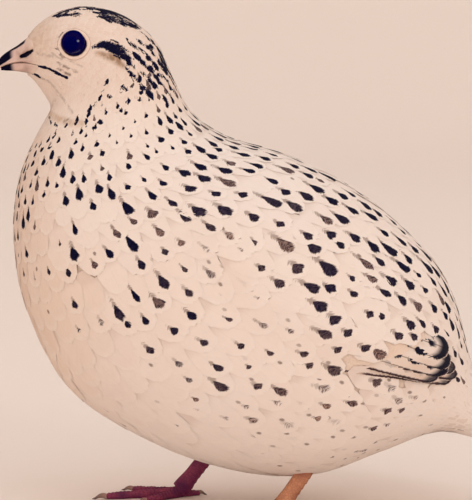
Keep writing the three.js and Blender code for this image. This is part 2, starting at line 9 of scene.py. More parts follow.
import bpy
import numpy as np
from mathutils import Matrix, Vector


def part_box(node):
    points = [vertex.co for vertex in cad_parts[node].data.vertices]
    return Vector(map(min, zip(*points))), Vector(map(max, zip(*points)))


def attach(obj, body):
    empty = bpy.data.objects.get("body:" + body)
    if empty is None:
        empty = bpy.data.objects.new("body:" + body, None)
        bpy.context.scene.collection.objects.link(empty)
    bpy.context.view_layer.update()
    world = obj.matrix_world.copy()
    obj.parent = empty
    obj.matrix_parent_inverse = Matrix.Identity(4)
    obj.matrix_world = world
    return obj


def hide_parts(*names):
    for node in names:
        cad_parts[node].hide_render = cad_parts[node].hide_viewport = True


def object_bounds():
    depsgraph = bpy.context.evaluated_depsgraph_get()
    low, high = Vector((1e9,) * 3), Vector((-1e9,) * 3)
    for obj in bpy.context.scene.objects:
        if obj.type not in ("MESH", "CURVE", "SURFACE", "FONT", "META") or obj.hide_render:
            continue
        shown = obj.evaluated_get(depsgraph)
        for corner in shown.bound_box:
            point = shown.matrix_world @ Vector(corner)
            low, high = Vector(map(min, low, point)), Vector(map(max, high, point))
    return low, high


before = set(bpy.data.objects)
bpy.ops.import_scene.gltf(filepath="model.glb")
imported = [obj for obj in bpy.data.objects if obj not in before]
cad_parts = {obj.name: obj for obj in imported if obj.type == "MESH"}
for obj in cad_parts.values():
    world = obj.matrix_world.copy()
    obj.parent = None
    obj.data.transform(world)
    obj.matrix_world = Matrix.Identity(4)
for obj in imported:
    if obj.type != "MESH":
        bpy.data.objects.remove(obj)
CAD_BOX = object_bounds()

# ---------------------------------------------------------------- driving dimensions

BILL_TIP_X = -70.9  # in the bird's own measure
SHIFT_X = CAD_BOX[0].x * 1000 - BILL_TIP_X  # from the bird's own measure to the frame
SEED = 7
LEFT, RIGHT = -1, 1
SIDE_NAMES = {LEFT: "left", RIGHT: "right"}

# The picture: the photograph's frame, and what one of its pixels measures at the bird.
FRAME_WIDE, FRAME_HIGH = 472, 500
MM_PER_PIXEL = 0.29
GROUND_ROW = 511  # where the ground under the bird's middle would be, below the photograph's bottom edge
MIDDLE_COLUMN = 244  # of the bird's own x = 0
CAMERA_DISTANCE = 800
CAMERA_ELEVATION = 7.0

# Cross-sections of the plumage from the bill to the tail root: upper x, z, lower x, z, half width.
SECTIONS = [
    [-62.4, 137.2, -63.8, 127.5, 3.5],  # bill base
    [-59.0, 141.0, -60.7, 125.2, 6.1],  # forehead
    [-53.0, 144.6, -57.7, 121.3, 9.4],  # brow
    [-44.5, 146.1, -55.7, 117.6, 12.0],  # crown
    [-34.2, 143.3, -56.3, 115.3, 13.0],  # hind crown
    [-25.8, 136.5, -59.3, 110.0, 14.6],  # nape
    [-20.9, 126.5, -63.5, 101.0, 18.5],  # neck
    [-15.5, 116.0, -66.0, 91.0, 24.5],  # mantle
    [-5.0, 108.6, -66.4, 77.5, 32.0],  # shoulders
    [12.0, 103.3, -62.8, 58.5, 37.6],  # back
    [30.0, 94.5, -49.9, 35.0, 40.2],  # mid back
    [44.7, 83.2, -24.9, 19.2, 39.6],  # lower back
    [55.5, 72.0, -1.0, 11.4, 35.6],  # rump
    [61.6, 60.0, 19.5, 10.5, 29.2],  # lower rump
    [65.2, 46.4, 37.5, 16.5, 21.0],  # tail coverts
    [68.6, 34.5, 54.5, 22.6, 12.5],  # vent
    [73.0, 24.6, 66.0, 21.0, 6.5],  # tail root, where the body ends
    [75.8, 22.9, 69.4, 18.9, 5.8],  # ends of the tail coverts, which lie over the tail
]
SECTION_FULLNESS = 0.9
TRUNK_FROM = 6
LAST = len(SECTIONS) - 1
BODY_END = LAST - 1

# The folded wing's outline seen from the side.
WING_UPPER_EDGE = [
    [-19.1, 91.6], [-11.3, 99.2], [1.7, 99.4], [16.2, 94.8], [30.7, 86.0], [43.8, 73.6], [54.0, 59.2], [61.0, 45.8],
]
WING_LOWER_EDGE = [
    [-19.1, 91.6], [-16.8, 78.9], [-8.4, 65.5], [5.2, 54.8], [19.1, 47.0], [33.6, 42.9], [48.1, 39.9], [61.0, 38.0],
]
WING_SWELL = 2.2  # how far the folded wing stands out
WING_SWELL_EDGE = 13.0  # over what distance from its outline it does so
WING_FROM = 11  # from the bird's middle, in mm

EYE_LOW, EYE_HIGH = (np.array(corner) * 1000 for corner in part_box("eye_left"))
EYE_X, EYE_Y, EYE_Z = (EYE_LOW + EYE_HIGH) / 2 * [1, LEFT, 1] - [SHIFT_X, 0, 0]
EYE_RADIUS = (EYE_HIGH[2] - EYE_LOW[2]) / 2
SOCKET_DEPTH = 2.8
SOCKET_EDGE = [3.2, 3.95]  # between these distances from the eye's middle the plumage rises to its rim
FACE_HALF = 3  # the eyes' surroundings lie further than this from the bird's middle
BARE_EDGE = [
    [124.0, -60.2], [127.0, -60.2], [129.0, -58.9], [131.0, -59.3], [133.5, -59.8], [136.0, -60.9], [137.8, -62.0],
]
BILL_BED = 1.0  # how deep the plumage lies under its root
BILL_BED_FROM = [126.4, 127.2]  # between these heights the bed begins

# ---------------------------------------------------------------- small tools


def smooth(low, high, value):
    """0 below low, 1 above high, and a smooth step between them."""
    t = np.clip((np.asarray(value, float) - low) / (high - low), 0, 1)
    return t * t * (3 - 2 * t)


def lerp(a, b, t):
    return a + (b - a) * t


def unit(v):
    return v / np.maximum(np.linalg.norm(v, axis=-1, keepdims=True), 1e-9)


def circle(count):
    """Angles evenly round a circle."""
    return np.arange(count) * 2 * math.pi / count


def through(rows, place):
    """A smooth curve through rows of numbers, at places counted from 0."""
    rows = np.asarray(rows, float)
    last = len(rows) - 1
    place = np.asarray(place, float)
    i = np.clip(np.floor(place).astype(int), 0, last - 1)
    f = (place - i)[..., None]
    a, b, c, d = (rows[np.clip(i + k, 0, last)] for k in (-1, 0, 1, 2))
    slope_in, slope_out, rise = (c - a) / 2, (d - b) / 2, c - b
    square = 3 * rise - 2 * slope_in - slope_out
    cube = slope_in + slope_out - 2 * rise
    return b + f * (slope_in + f * (square + f * cube))


def inside(points, outline):
    """Which x, z points lie inside a closed outline."""
    x, z = np.moveaxis(points, -1, 0)
    within = np.zeros(x.shape, bool)
    for (x1, z1), (x2, z2) in zip(outline, np.roll(outline, -1, axis=0)):
        if z1 != z2:
            within ^= ((z1 > z) != (z2 > z)) & (x < x1 + (x2 - x1) * (z - z1) / (z2 - z1))
    return within


def beside(points, line):
    """The distance of x, z points from an open line."""
    line = np.asarray(line, float)
    gap = np.full(points.shape[:-1], np.inf)
    for start, run in zip(line, np.diff(line, axis=0)):
        t = np.clip((points - start) @ run / (run @ run), 0, 1)
        gap = np.minimum(gap, np.linalg.norm(points - start - t[..., None] * run, axis=-1))
    return gap


# ---------------------------------------------------------------- the plumage surface

WING_CURVE = np.linspace(0, len(WING_UPPER_EDGE) - 1, 25)
WING_OUTLINE = np.concatenate([through(WING_UPPER_EDGE, WING_CURVE), through(WING_LOWER_EDGE, WING_CURVE)[::-1]])
STEP = 0.03  # of section and angle, over which slopes are measured


def bare(s, theta):
    """The smooth plumage at section s and angle theta, which is 0 on top and positive on the right."""
    ux, uz, lx, lz, half = np.moveaxis(through(SECTIONS, s), -1, 0)
    share = (1 + np.cos(theta)) / 2
    sine = np.sin(theta)
    y = half * np.sign(sine) * np.abs(sine) ** SECTION_FULLNESS
    return np.stack([lerp(lx, ux, share), y, lerp(lz, uz, share)], axis=-1)


def slopes(s, theta):
    """How the smooth plumage runs there, per section and per radian."""
    along = bare(s + STEP, theta) - bare(s - STEP, theta)
    around = bare(s, theta + STEP) - bare(s, theta - STEP)
    return along / (2 * STEP), around / (2 * STEP)


def reaches(s, theta):
    """The lengths of those slopes, in mm."""
    return [np.linalg.norm(slope, axis=-1) for slope in slopes(s, theta)]


def on_wing(points):
    """Which places belong to a folded wing."""
    return inside(points[..., [0, 2]], WING_OUTLINE) & (np.abs(points[..., 1]) > WING_FROM)


def swell(points):
    gap = beside(points[..., [0, 2]], WING_OUTLINE)
    return np.where(on_wing(points), WING_SWELL * smooth(0, WING_SWELL_EDGE, gap), 0)


def from_eye(points):
    """The distance from an eye's middle, seen from the side, and a large one along the bird's middle."""
    gap = np.hypot(points[..., 0] - EYE_X, points[..., 2] - EYE_Z)
    return np.where(np.abs(points[..., 1]) > FACE_HALF, gap, np.inf)


def bare_edge(z):
    """The x where feathers begin behind the bill, at heights z."""
    return np.interp(z, *np.transpose(BARE_EDGE))


def bill_bed(points):
    """How far the plumage sinks under the root of the bill."""
    x, _, z = np.moveaxis(points, -1, 0)
    return BILL_BED * (1 - smooth(-0.8, -0.1, x - bare_edge(z))) * smooth(*BILL_BED_FROM, z)


def plumage(s, theta, lift):
    """The plumage with the folded wings' swell, the sockets of the eyes and the bill's bed, raised by lift."""
    base = bare(s, theta)
    sunk = SOCKET_DEPTH * (1 - smooth(*SOCKET_EDGE, from_eye(base))) + bill_bed(base)
    return base + unit(np.cross(*slopes(s, theta))) * (swell(base) - sunk + lift)[..., None]


def place_of(x, z, side, first=TRUNK_FROM, last=LAST):
    """The section, between first and last, and the angle that are seen at x, z from the side."""

    def across(s):
        ux, uz, lx, lz, _ = np.moveaxis(through(SECTIONS, s), -1, 0)
        return (ux - lx) * (z - lz) - (uz - lz) * (x - lx)

    low, high = np.full(x.shape, float(first)), np.full(x.shape, float(last))
    start = across(low) > 0
    high = np.where((across(high) > 0) == start, low, high)
    for _ in range(36):
        s = (low + high) / 2
        ahead = (across(s) > 0) == start
        low, high = np.where(ahead, s, low), np.where(ahead, high, s)
    ux, uz, lx, lz, _ = np.moveaxis(through(SECTIONS, low), -1, 0)
    share = ((x - lx) * (ux - lx) + (z - lz) * (uz - lz)) / ((ux - lx) ** 2 + (uz - lz) ** 2)
    return low, side * np.arccos(np.clip(2 * share - 1, -1, 1))


# ---------------------------------------------------------------- meshes


class Build:
    """Gathers vertices, faces, attributes and map places, and makes one mesh object of them."""

    def __init__(self):
        self.points, self.faces, self.maps, self.rims, self.data = [], [], [], [], {}
        self.count = 0

    def add(self, points, faces, maps, rim=None, **data):
        """points is N by 3, faces a list of index arrays of one width each, and maps a place on the map per vertex.

        Edges between two vertices of rim are sharp.
        """
        self.points.append(points.reshape(-1, 3))
        self.faces += [group + self.count for group in faces]
        self.maps.append(maps.reshape(-1, 2))
        self.rims.append(np.zeros(len(self.points[-1]), bool) if rim is None else rim.ravel())
        for key, values in data.items():
            self.data.setdefault(key, []).append(values.reshape(-1, 3))
        self.count += len(self.points[-1])

    def make(self, name, material, node=None):
        """The object: a piece in place of a node of the CAD, or else part of the studio."""
        mesh = bpy.data.meshes.new(name)
        points = np.concatenate(self.points)
        points[:, 0] += SHIFT_X
        mesh.vertices.add(len(points))
        mesh.vertices.foreach_set("co", (points / 1000).astype(np.float32).ravel())
        sizes = np.concatenate([np.full(len(group), group.shape[1]) for group in self.faces])
        corners = np.concatenate([group.ravel() for group in self.faces])
        mesh.loops.add(len(corners))
        mesh.loops.foreach_set("vertex_index", corners.astype(np.int32))
        mesh.polygons.add(len(sizes))
        mesh.polygons.foreach_set("loop_start", (np.cumsum(sizes) - sizes).astype(np.int32))
        mesh.update(calc_edges=True)
        mesh.polygons.foreach_set("use_smooth", np.full(len(sizes), True))
        ends = np.zeros(len(mesh.edges) * 2, np.int32)
        mesh.edges.foreach_get("vertices", ends)
        rim = np.concatenate(self.rims)
        mesh.edges.foreach_set("use_edge_sharp", rim[ends[0::2]] & rim[ends[1::2]])
        for key, parts in self.data.items():
            attribute = mesh.attributes.new(key, "FLOAT_VECTOR", "POINT")
            attribute.data.foreach_set("vector", np.concatenate(parts).astype(np.float32).ravel())
        layer = mesh.uv_layers.new(name="Atlas")
        layer.uv.foreach_set("vector", np.concatenate(self.maps)[corners].astype(np.float32).ravel())
        mesh.validate()
        mesh.materials.append(material)
        made = bpy.data.objects.new(name, mesh)
        bpy.context.scene.collection.objects.link(made)
        if node is None:
            return made
        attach(made, "root")
        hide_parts(node)
        return made


def ring_faces(count, around, closed=False):
    """Faces from each ring of points to the next, and back to the first if closed, and the points' map places."""
    i, j = np.meshgrid(np.arange(count), np.arange(around), indexing="ij")
    maps = np.stack([i / count, j / around], -1)
    if not closed:
        i, j = i[:-1], j[:-1]
    ahead, over = (i + 1) % count * around, (j + 1) % around
    quads = np.stack([i * around + j, i * around + over, ahead + over, ahead + j], -1)
    return quads.reshape(-1, 4), maps.reshape(-1, 2)


def fan(middle, first, around):
    """Faces from a middle point to the ring of points that begins at first."""
    k = np.arange(around)
    return np.stack([np.full(around, middle), first + k, first + (k + 1) % around], -1)


def with_ends(values):
    """Values on rings of points, then those at the middle of the first ring and of the last one."""
    return np.concatenate([values.reshape(-1, 3), values[:1].mean(1), values[-1:].mean(1)])


def loft(build, rings, **data):
    """A closed solid through rings of points, rings by around by 3, capped at both ends."""
    count, around = rings.shape[:2]
    quads, maps = ring_faces(count, around)
    total = count * around
    faces = [quads, fan(total, 0, around)[:, ::-1], fan(total + 1, total - around, around)]
    data = {key: with_ends(values) for key, values in data.items()}
    build.add(with_ends(rings), faces, np.concatenate([maps, [[0, 0], [1, 0]]]), **data)


def torus(build, rings, **data):
    """A closed ring of rings."""
    quads, maps = ring_faces(*rings.shape[:2], closed=True)
    build.add(rings, [quads], maps, **data)


def triple(first, second=0.0, third=0.0):
    """Places or attributes of vertices from their three numbers, some of which may be the same for all."""
    return np.stack(np.broadcast_arrays(first, second, third), -1)


# ---------------------------------------------------------------- feathers

FRAY = 0.3  # how unevenly barbs end at a feather's tip, in barb spacings
EVEN_FRAY = 0.6  # and how much neighbours differ in turn, as a share of that
KEEL_END = 0.3  # where the underside's middle line ends, between the last two rows
TURN_SPREAD = math.radians(5)  # how much feathers differ in direction, size, curl and lift
SIZE_SPREAD = 0.05
CURL_SPREAD = 0.04
LIFT_SPREAD = 0.1
TIP_ROUND = 0.8  # how round the small feathers' tips are, and those of the wing's long ones
QUILL_TIP = 1.15
LEAF_THICK = [0.02, 0.06]  # a small feather's thickness as a share of its width, and the least in mm


def leaf_faces(rows, columns):
    """Faces of one feather: an arched top of rows by columns vertices, and a spine of rows vertices underneath."""
    top = np.arange(rows * columns).reshape(rows, columns)
    spine = rows * columns + np.arange(rows)
    quads = [
        np.stack([top[:-1, :-1], top[1:, :-1], top[1:, 1:], top[:-1, 1:]], -1).reshape(-1, 4),
        np.stack([top[:-1, 0], spine[:-1], spine[1:], top[1:, 0]], -1),
        np.stack([spine[:-1], top[:-1, -1], top[1:, -1], spine[1:]], -1),
    ]
    root = np.stack([top[0, :-1], top[0, 1:], np.full(columns - 1, spine[0])], -1)
    tip = np.stack([top[-1, 1:], top[-1, :-1], np.full(columns - 1, spine[-1])], -1)
    return np.concatenate(quads), root, tip


def feather_outline(rows, columns, root_width=0.3, widest=0.55, narrowing=0.22):
    """Places on a feather in its own measure: u from -1 to 1 across and v from 0 to 1 along, and its half width."""
    v = 1 - (1 - np.linspace(0, 1, rows)) ** 1.25
    u = np.linspace(-1, 1, columns)
    grow = root_width + (1 - root_width) * np.sin(np.clip(v / widest, 0, 1) * math.pi / 2)
    end = np.clip((v - widest) / (1 - widest), 0, 1)
    return u, v, grow * (1 - narrowing * end**2)


def round_tip(u, v, sharp):
    """How far the outer barbs end short of the tip, as a share of the half width."""
    return sharp * (1 - np.sqrt(1 - 0.97 * u**2)) * smooth(0.35, 1.0, v)[:, None]


def zigzag(columns):
    """1 and -1 in turn, so that neighbouring barbs end unevenly."""
    return np.where(np.arange(columns) % 2, 1, -1)


def keel(values):
    """The line along the middle of rows by columns of values, which ends short of a feather's tip."""
    line = values[..., values.shape[-1] // 2].copy()
    line[..., -1] = lerp(line[..., -2], line[..., -1], KEEL_END)
    return line


def grow_feathers(build, s, theta, length, width, rng, look, rows=9, columns=11, lift=0.02, arch=0.005, rough=1.0):
    """Adds one feather for each tip at s, theta. length and width are in mm, and look holds its markings."""
    n = len(s)
    outline = u, v, half = feather_outline(rows, columns)
    per_s, per_theta = reaches(s, theta)
    turn = rng.normal(0, TURN_SPREAD, n) * rough
    size = 1 + rng.normal(0, SIZE_SPREAD, n) * rough
    curl = rng.normal(0, CURL_SPREAD, n) * rough
    proud = 1 + rng.normal(0, LIFT_SPREAD, n) * rough
    fray = (rng.uniform(-1, 1, (n, columns)) + EVEN_FRAY * zigzag(columns)) * FRAY / columns
    seeds = rng.uniform(0, 1, n)
    shape = np.stack([length * size, width * size, seeds], -1)
    # from here each array is feathers by rows by columns
    s, theta, per_s, per_theta, turn, curl, proud = (
        a[:, None, None] for a in (s, theta, per_s, per_theta, turn, curl, proud)
    )
    long, wide = shape[:, 0, None, None], shape[:, 1, None, None]
    ahead = v[:, None]
    # p runs back from the tip and q across, both in mm
    short = round_tip(u, v, TIP_ROUND) * wide / 2
    p = (ahead - 1) * long + fray[:, None, :] * wide * smooth(0.6, 1.0, ahead) - short
    q = u * half[:, None] * wide / 2 + curl * wide * ahead**2
    pivot = -0.5 * long
    p, q = (
        pivot + (p - pivot) * np.cos(turn) - q * np.sin(turn),
        (p - pivot) * np.sin(turn) + q * np.cos(turn),
    )
    s, theta = np.clip(s + p / per_s, 0.02, LAST - 0.02), theta + q / per_theta
    height = (lift * (ahead - 0.25) * proud + arch * (1 - u**2) * ahead) * wide
    top = plumage(s, theta, height)
    share, least = LEAF_THICK
    thick = np.maximum(share * width, least)[:, None]
    spine = plumage(keel(s), keel(theta), keel(height) - thick)
    points = np.concatenate([top.reshape(n, -1, 3), spine], axis=1)
    add_leaves(build, points, outline, shape, look)


def add_leaves(build, points, outline, shape, look):
    """Adds n feathers of the same topology with their attributes, each in a cell of its own on the map."""
    n, per = points.shape[:2]
    u, v, half = outline
    rows, columns = len(v), len(u)
    offsets = (np.arange(n) * per)[:, None, None]
    faces = [(group + offsets).reshape(-1, group.shape[1]) for group in leaf_faces(rows, columns)]
    across = np.concatenate([np.tile(u, rows), np.zeros(rows)])
    ahead = np.concatenate([np.repeat(v, columns), v])
    share = np.concatenate([np.repeat(half, columns), half])
    vane = np.stack([across * share, ahead, (1 - np.abs(across)) * share], -1)
    cells = math.ceil(math.sqrt(n))
    corner = np.stack([np.arange(n) % cells, np.arange(n) // cells], -1) / cells
    local = np.stack([0.5 + 0.44 * across * share, 0.04 + 0.92 * ahead], -1)
    rim = np.ones((rows, columns), bool)
    rim[1:-1, 1:-1] = False
    rim = np.concatenate([rim.ravel(), np.zeros(rows, bool)])
    each = {"mark": look["mark"], "tint": look["tint"], "shape": shape}
    data = {key: np.broadcast_to(values[:, None, :], (n, per, 3)) for key, values in each.items()}
    data["vane"] = np.broadcast_to(vane, (n, per, 3))
    data["ink"] = head_ink(points)
    build.add(points, faces, corner[:, None, :] + local / cells, rim=np.broadcast_to(rim, (n, per)), **data)


# ---------------------------------------------------------------- markings

# How the dark spot near each feather's tip looks round the body, at places seen from the side, x, z: the spot's
# width, its length as a share of that, how strong it is, and how brown.
SPOTS = [
    [-62, 141, 0.3, 1.2, 0.00, 0.0],  # forehead
    [-48, 127, 0.3, 1.2, 0.00, 0.0],  # cheek
    [-58, 118, 0.3, 1.2, 0.00, 0.0],  # throat
    [-42, 122, 0.6, 1.2, 0.15, 0.2],  # side of the throat
    [-53, 114, 1.1, 1.4, 0.90, 0.0],  # breast, from its top and its front edge backwards
    [-62, 105, 1.3, 1.6, 0.95, 0.0],
    [-65, 90, 1.3, 1.8, 0.95, 0.0],
    [-66, 76, 1.2, 1.8, 0.85, 0.0],
    [-53, 99, 1.5, 1.7, 0.97, 0.0],
    [-56, 82, 1.5, 1.7, 0.97, 0.0],
    [-52, 67, 1.4, 1.3, 0.55, 0.2],
    [-42, 90, 1.7, 1.8, 0.97, 0.0],
    [-42, 73, 1.7, 1.7, 0.92, 0.0],
    [-33, 82, 1.9, 1.8, 0.97, 0.0],
    [-39, 58, 1.6, 1.3, 0.45, 0.2],
    [-27, 66, 1.8, 1.7, 0.92, 0.0],
    [-65, 63, 0.8, 1.5, 0.00, 0.0],  # belly
    [-53, 55, 0.5, 1.2, 0.00, 0.0],
    [-36, 47, 0.5, 1.2, 0.00, 0.0],
    [-19, 35, 0.5, 1.2, 0.00, 0.0],
    [-4, 23, 0.5, 1.2, 0.00, 0.0],
    [22, 16, 0.5, 1.2, 0.00, 0.0],
    [-16, 61, 2.1, 1.5, 0.97, 0.0],  # side, below the wing's front
    [-19, 47, 1.6, 1.2, 0.50, 0.3],
    [-4, 47, 1.9, 1.5, 0.66, 0.2],
    [-8, 35, 1.5, 1.2, 0.40, 0.4],
    [4, 31, 1.8, 1.2, 0.45, 0.5],
    [16, 38, 2.0, 1.3, 0.42, 0.6],  # flank, under the wing
    [19, 28, 1.9, 1.3, 0.32, 0.7],
    [31, 33, 2.1, 1.3, 0.45, 0.6],
    [32, 22, 1.7, 1.3, 0.20, 0.7],
    [45, 34, 2.1, 1.3, 0.48, 0.6],
    [45, 25, 1.7, 1.3, 0.22, 0.7],
    [57, 32, 1.7, 1.6, 0.35, 0.5],
    [62, 44, 1.4, 2.3, 0.92, 0.1],  # rump and tail coverts
    [63, 32, 1.3, 2.2, 0.30, 0.2],
    [56, 45, 1.4, 1.6, 0.05, 0.3],
    [68, 26, 1.1, 2.4, 0.50, 0.4],
    [60, 61, 1.5, 2.2, 0.97, 0.0],
    [52, 72, 1.8, 1.9, 0.97, 0.0],  # back, upwards along its top
    [42, 83, 2.2, 1.7, 0.97, 0.0],
    [29, 93, 2.5, 1.5, 0.97, 0.0],
    [16, 99, 2.5, 1.5, 0.97, 0.0],
    [2, 103, 2.5, 1.6, 0.97, 0.0],
    [-10, 106, 2.2, 1.6, 0.97, 0.0],
    [-14, 111, 1.7, 1.5, 0.97, 0.0],  # hind neck
    [-21, 122, 1.2, 1.6, 0.97, 0.0],
    [-24, 132, 1.1, 1.8, 0.97, 0.0],
    [-33, 111, 1.0, 1.3, 0.90, 0.0],  # side of the neck
    [-27, 117, 1.0, 1.4, 0.92, 0.0],
    [-39, 110, 0.9, 1.3, 0.85, 0.0],
    [-39, 102, 1.4, 1.3, 0.95, 0.0],
    [-27, 105, 1.3, 1.6, 0.92, 0.0],
    [-27, 93, 1.6, 1.6, 0.92, 0.0],
    [-10, 94, 2.6, 1.5, 0.97, 0.1],  # shoulder feathers
    [2, 93, 2.7, 1.5, 0.95, 0.1],
    [16, 87, 2.6, 1.4, 0.90, 0.2],
    [28, 82, 2.3, 1.4, 0.88, 0.1],
    [39, 73, 2.2, 1.5, 0.88, 0.1],
    [48, 64, 2.2, 1.5, 0.92, 0.1],
    [-21, 82, 1.8, 1.5, 0.60, 0.2],  # wing coverts
    [-12, 79, 1.3, 1.4, 0.35, 0.4],
    [-1, 79, 1.4, 1.4, 0.40, 0.4],
    [-7, 67, 1.4, 1.4, 0.30, 0.5],
    [5, 62, 1.5, 1.4, 0.36, 0.5],
    [13, 73, 1.8, 1.4, 0.55, 0.3],
    [16, 55, 1.8, 1.3, 0.50, 0.4],
    [25, 67, 2.3, 1.3, 0.88, 0.1],
    [34, 58, 2.3, 1.3, 0.85, 0.2],
]
SPOT_REACH = 3.2  # power by which a nearer place counts more
SPOT_SPREAD = 0.24  # how much spots differ in size
LENGTH_SPREAD = 0.25  # and how much in their length as a share of it
MOST_SPOTTED = 0.94  # the share of feathers that bear a spot where nearly all do
BROWN_SHARE = 0.15  # of spots that are much browner than their neighbours
BROWNER = [-0.03, 0.45]  # how much is added to the brown of the others, and of those
SPOT_SIZE = 1.15
SPOT_STRETCH = [0.7, 1.8]  # the least and the greatest that a spot's length varies by
FAINT = [0.15, 0.62]  # between these strengths spots turn from none to full
FAINT_SPREAD = 0.1
WIDEST_SPOT = 0.42  # of a feather's share of the body's girth
CROWDED_PITCH = [1.5, 5.5]  # feathers this close together bear few spots or all of theirs
CROWDED_FROM = [25, 45]  # between these x, towards the tail, they begin to

# Parts of the body, each by the x and by the heights between which it begins.
# The breast's front edge, which is painted warmer and darker as shade.
SHADED_BREAST_EDGE = [[-48, -66], [116, 106]]
FRONT = [[-25, -40], [116, 110]]
LOWER_FRONT = [[-20, -50], [90, 60]]
FRONT_GAPS = 0.22  # how many fewer feathers bear spots on the front
BELLY_TOP = [48, 20]  # the heights between which the belly begins, below which it is painted paler as light from the floor
NECK_FROM = [108, 122]  # and the neck
HEAD_SHADE = [112, 126]  # and those between which the head's feathers turn a little darker
# The belly's share, below 0, paints its bottom paler as light thrown up from the floor; the front's paints the
# breast's edge warmer as shade.
WARMTH = [0.15, -0.15, 0.25, 0.5]  # all round, and what belly, neck and front add
BREAST_SHADE = 1.6  # and how much darker the breast's front edge turns, as painted shade

# Dark zones of the head and neck, seen from the side: the band along the crown and the patch behind the ear, each a
# line with its half width, and the outlines within which spots lie on the nape and, smaller, on the neck.
CROWN = [
    [-51.5, 146.6, 0.2],
    [-48.5, 147.3, 1.3],
    [-45.5, 147.3, 2.2],
    [-42.0, 146.4, 2.7],
    [-38.5, 145.0, 2.8],
    [-35.0, 143.4, 2.2],
    [-32.0, 141.7, 1.2],
    [-30.0, 140.3, 0.4],
]
CROWN_MIDDLE_HALF = 1.0  # of the pale line along the middle of the crown
CROWN_DARK = [0.58, 0.84]  # its darkness ahead, where pale feathers show in it, and behind, where fewer do
CROWN_TURN = [-43.5, -39.0]  # between these x it turns from one to the other
EAR = [[-42.6, 135.0, 0.35], [-40.2, 135.7, 1.0], [-37.4, 135.1, 1.7], [-34.8, 133.7, 1.7], [-32.5, 131.6, 0.9]]
EAR_SHADE = [[-41.5, 133.2, 0.6], [-38.8, 132.6, 1.2], [-35.9, 131.4, 1.3], [-34.0, 129.8, 0.6]]
CROWN_FRONT = [[-57.5, 142.6, 1.3], [-54.0, 144.6, 1.7], [-50.0, 145.9, 2.2], [-46.5, 146.2, 2.6]]
CROWN_STREAKS = [-58.5, -46.0]  # its streaks start between these
NAPE = [[-33, 134], [-31, 140.5], [-27, 138.5], [-22, 132], [-17, 119], [-22, 119.5], [-28, 121], [-32.5, 126]]
NECK = [[-33, 126], [-22, 124], [-12, 116], [-14, 104], [-50, 104], [-44.5, 112], [-40, 119], [-36, 127]]
RAGGED = 1.0  # mm by which the zones' edges are soft, for the barbs to break them up

# The spots there: spacing along and round, half length and half width in mm, their spread, and the share present.
CROWN_SPOTS = [2.0, 1.5, 1.3, 0.7, 0.3, 0.92]
NAPE_SPOTS = [2.2, 1.9, 1.6, 0.72, 0.35, 0.9]
NECK_SPOTS = [3.7, 3.7, 1.05, 0.6, 0.35, 0.8]
SPOT_GIRTH = 84  # the head's girth where they are spaced
SPOT_CORNER = 1.35  # how round the spots are: 1 is a diamond and 2 an oval

# Lines of bare skin or fine bristles on the face, and one of painted shade in a fold: places, half width, strength,
# and whether dark or brown.
FACE_LINES = [
    ([[-57.4, 129.2], [-55.4, 128.8], [-52.8, 127.5], [-50.3, 126.3]], 0.62, 1.0, True),
    ([[-60.6, 127.2], [-59.4, 126.7], [-58.2, 126.1]], 0.55, 1.0, True),
    # painted shade: the soft fold between cheek and throat, from the lower bill's root down and back
    ([[-58.2, 126.0], [-55.7, 125.2], [-53.4, 122.7], [-51.0, 119.8], [-48.6, 116.6]], 0.5, 0.4, False),
    ([[-60.6, 129.4], [-58.8, 129.4], [-57.4, 129.2]], 0.5, 0.85, True),
    ([[-38.6, 125.8], [-39.4, 124.4]], 0.55, 0.9, True),  # from here the specks of the chin strap, downwards
    ([[-39.6, 123.3], [-40.1, 122.5]], 0.5, 0.85, True),
    ([[-40.3, 121.6], [-41.0, 120.3]], 0.6, 0.95, True),
    ([[-41.9, 119.7], [-42.4, 119.0]], 0.5, 0.9, True),
    ([[-43.2, 118.5], [-43.8, 117.3]], 0.6, 0.95, True),
    ([[-43.7, 116.5], [-44.3, 115.9]], 0.55, 0.9, True),
    ([[-44.4, 114.8], [-44.7, 113.7]], 0.55, 0.9, True),
    ([[-41.8, 113.4], [-42.4, 112.4]], 0.6, 0.9, True),
    ([[-55.6, 114.7], [-54.9, 113.3]], 0.5, 0.9, True),  # and those in the crease under the throat
    ([[-54.0, 113.3], [-52.9, 112.8]], 0.45, 0.85, True),
    ([[-51.0, 113.8], [-49.6, 114.7]], 0.5, 0.9, False),
    ([[-59.5, 133.0], [-56.5, 132.6], [-53.8, 132.2]], 0.6, 0.3, False),
    ([[-54.6, 133.3], [-53.2, 132.3], [-51.4, 131.4]], 0.35, 0.4, False),
    ([[-52.8, 130.6], [-51.4, 129.6]], 0.5, 0.7, False),
    ([[-52.6, 128.9], [-51.0, 127.9], [-49.4, 127.2]], 0.55, 0.8, False),
    ([[-51.6, 130.0], [-49.6, 128.9], [-47.6, 128.0]], 0.5, 0.7, False),
    ([[-49.8, 131.4], [-47.6, 130.2], [-45.8, 129.6]], 0.3, 0.35, False),
]
# how tan the forehead turns: partly its own colour and partly painted shade
FOREHEAD_TAN_AND_SHADE = 0.5
# the line of painted shade in the crease under the throat, where the head lies over the breast
THROAT_CREASE_SHADE = [[-56.5, 116.2], [-52.8, 114.7], [-49, 113.9], [-46, 113.8]]
EAR_FROM = 4  # mm from the bird's middle
HEAD_FROM = [107, 111]  # heights between which the head's own markings begin


def in_part(x, z, part):
    """From 0 outside a part of the body to 1 in it."""
    return smooth(*part[0], x) * smooth(*part[1], z)


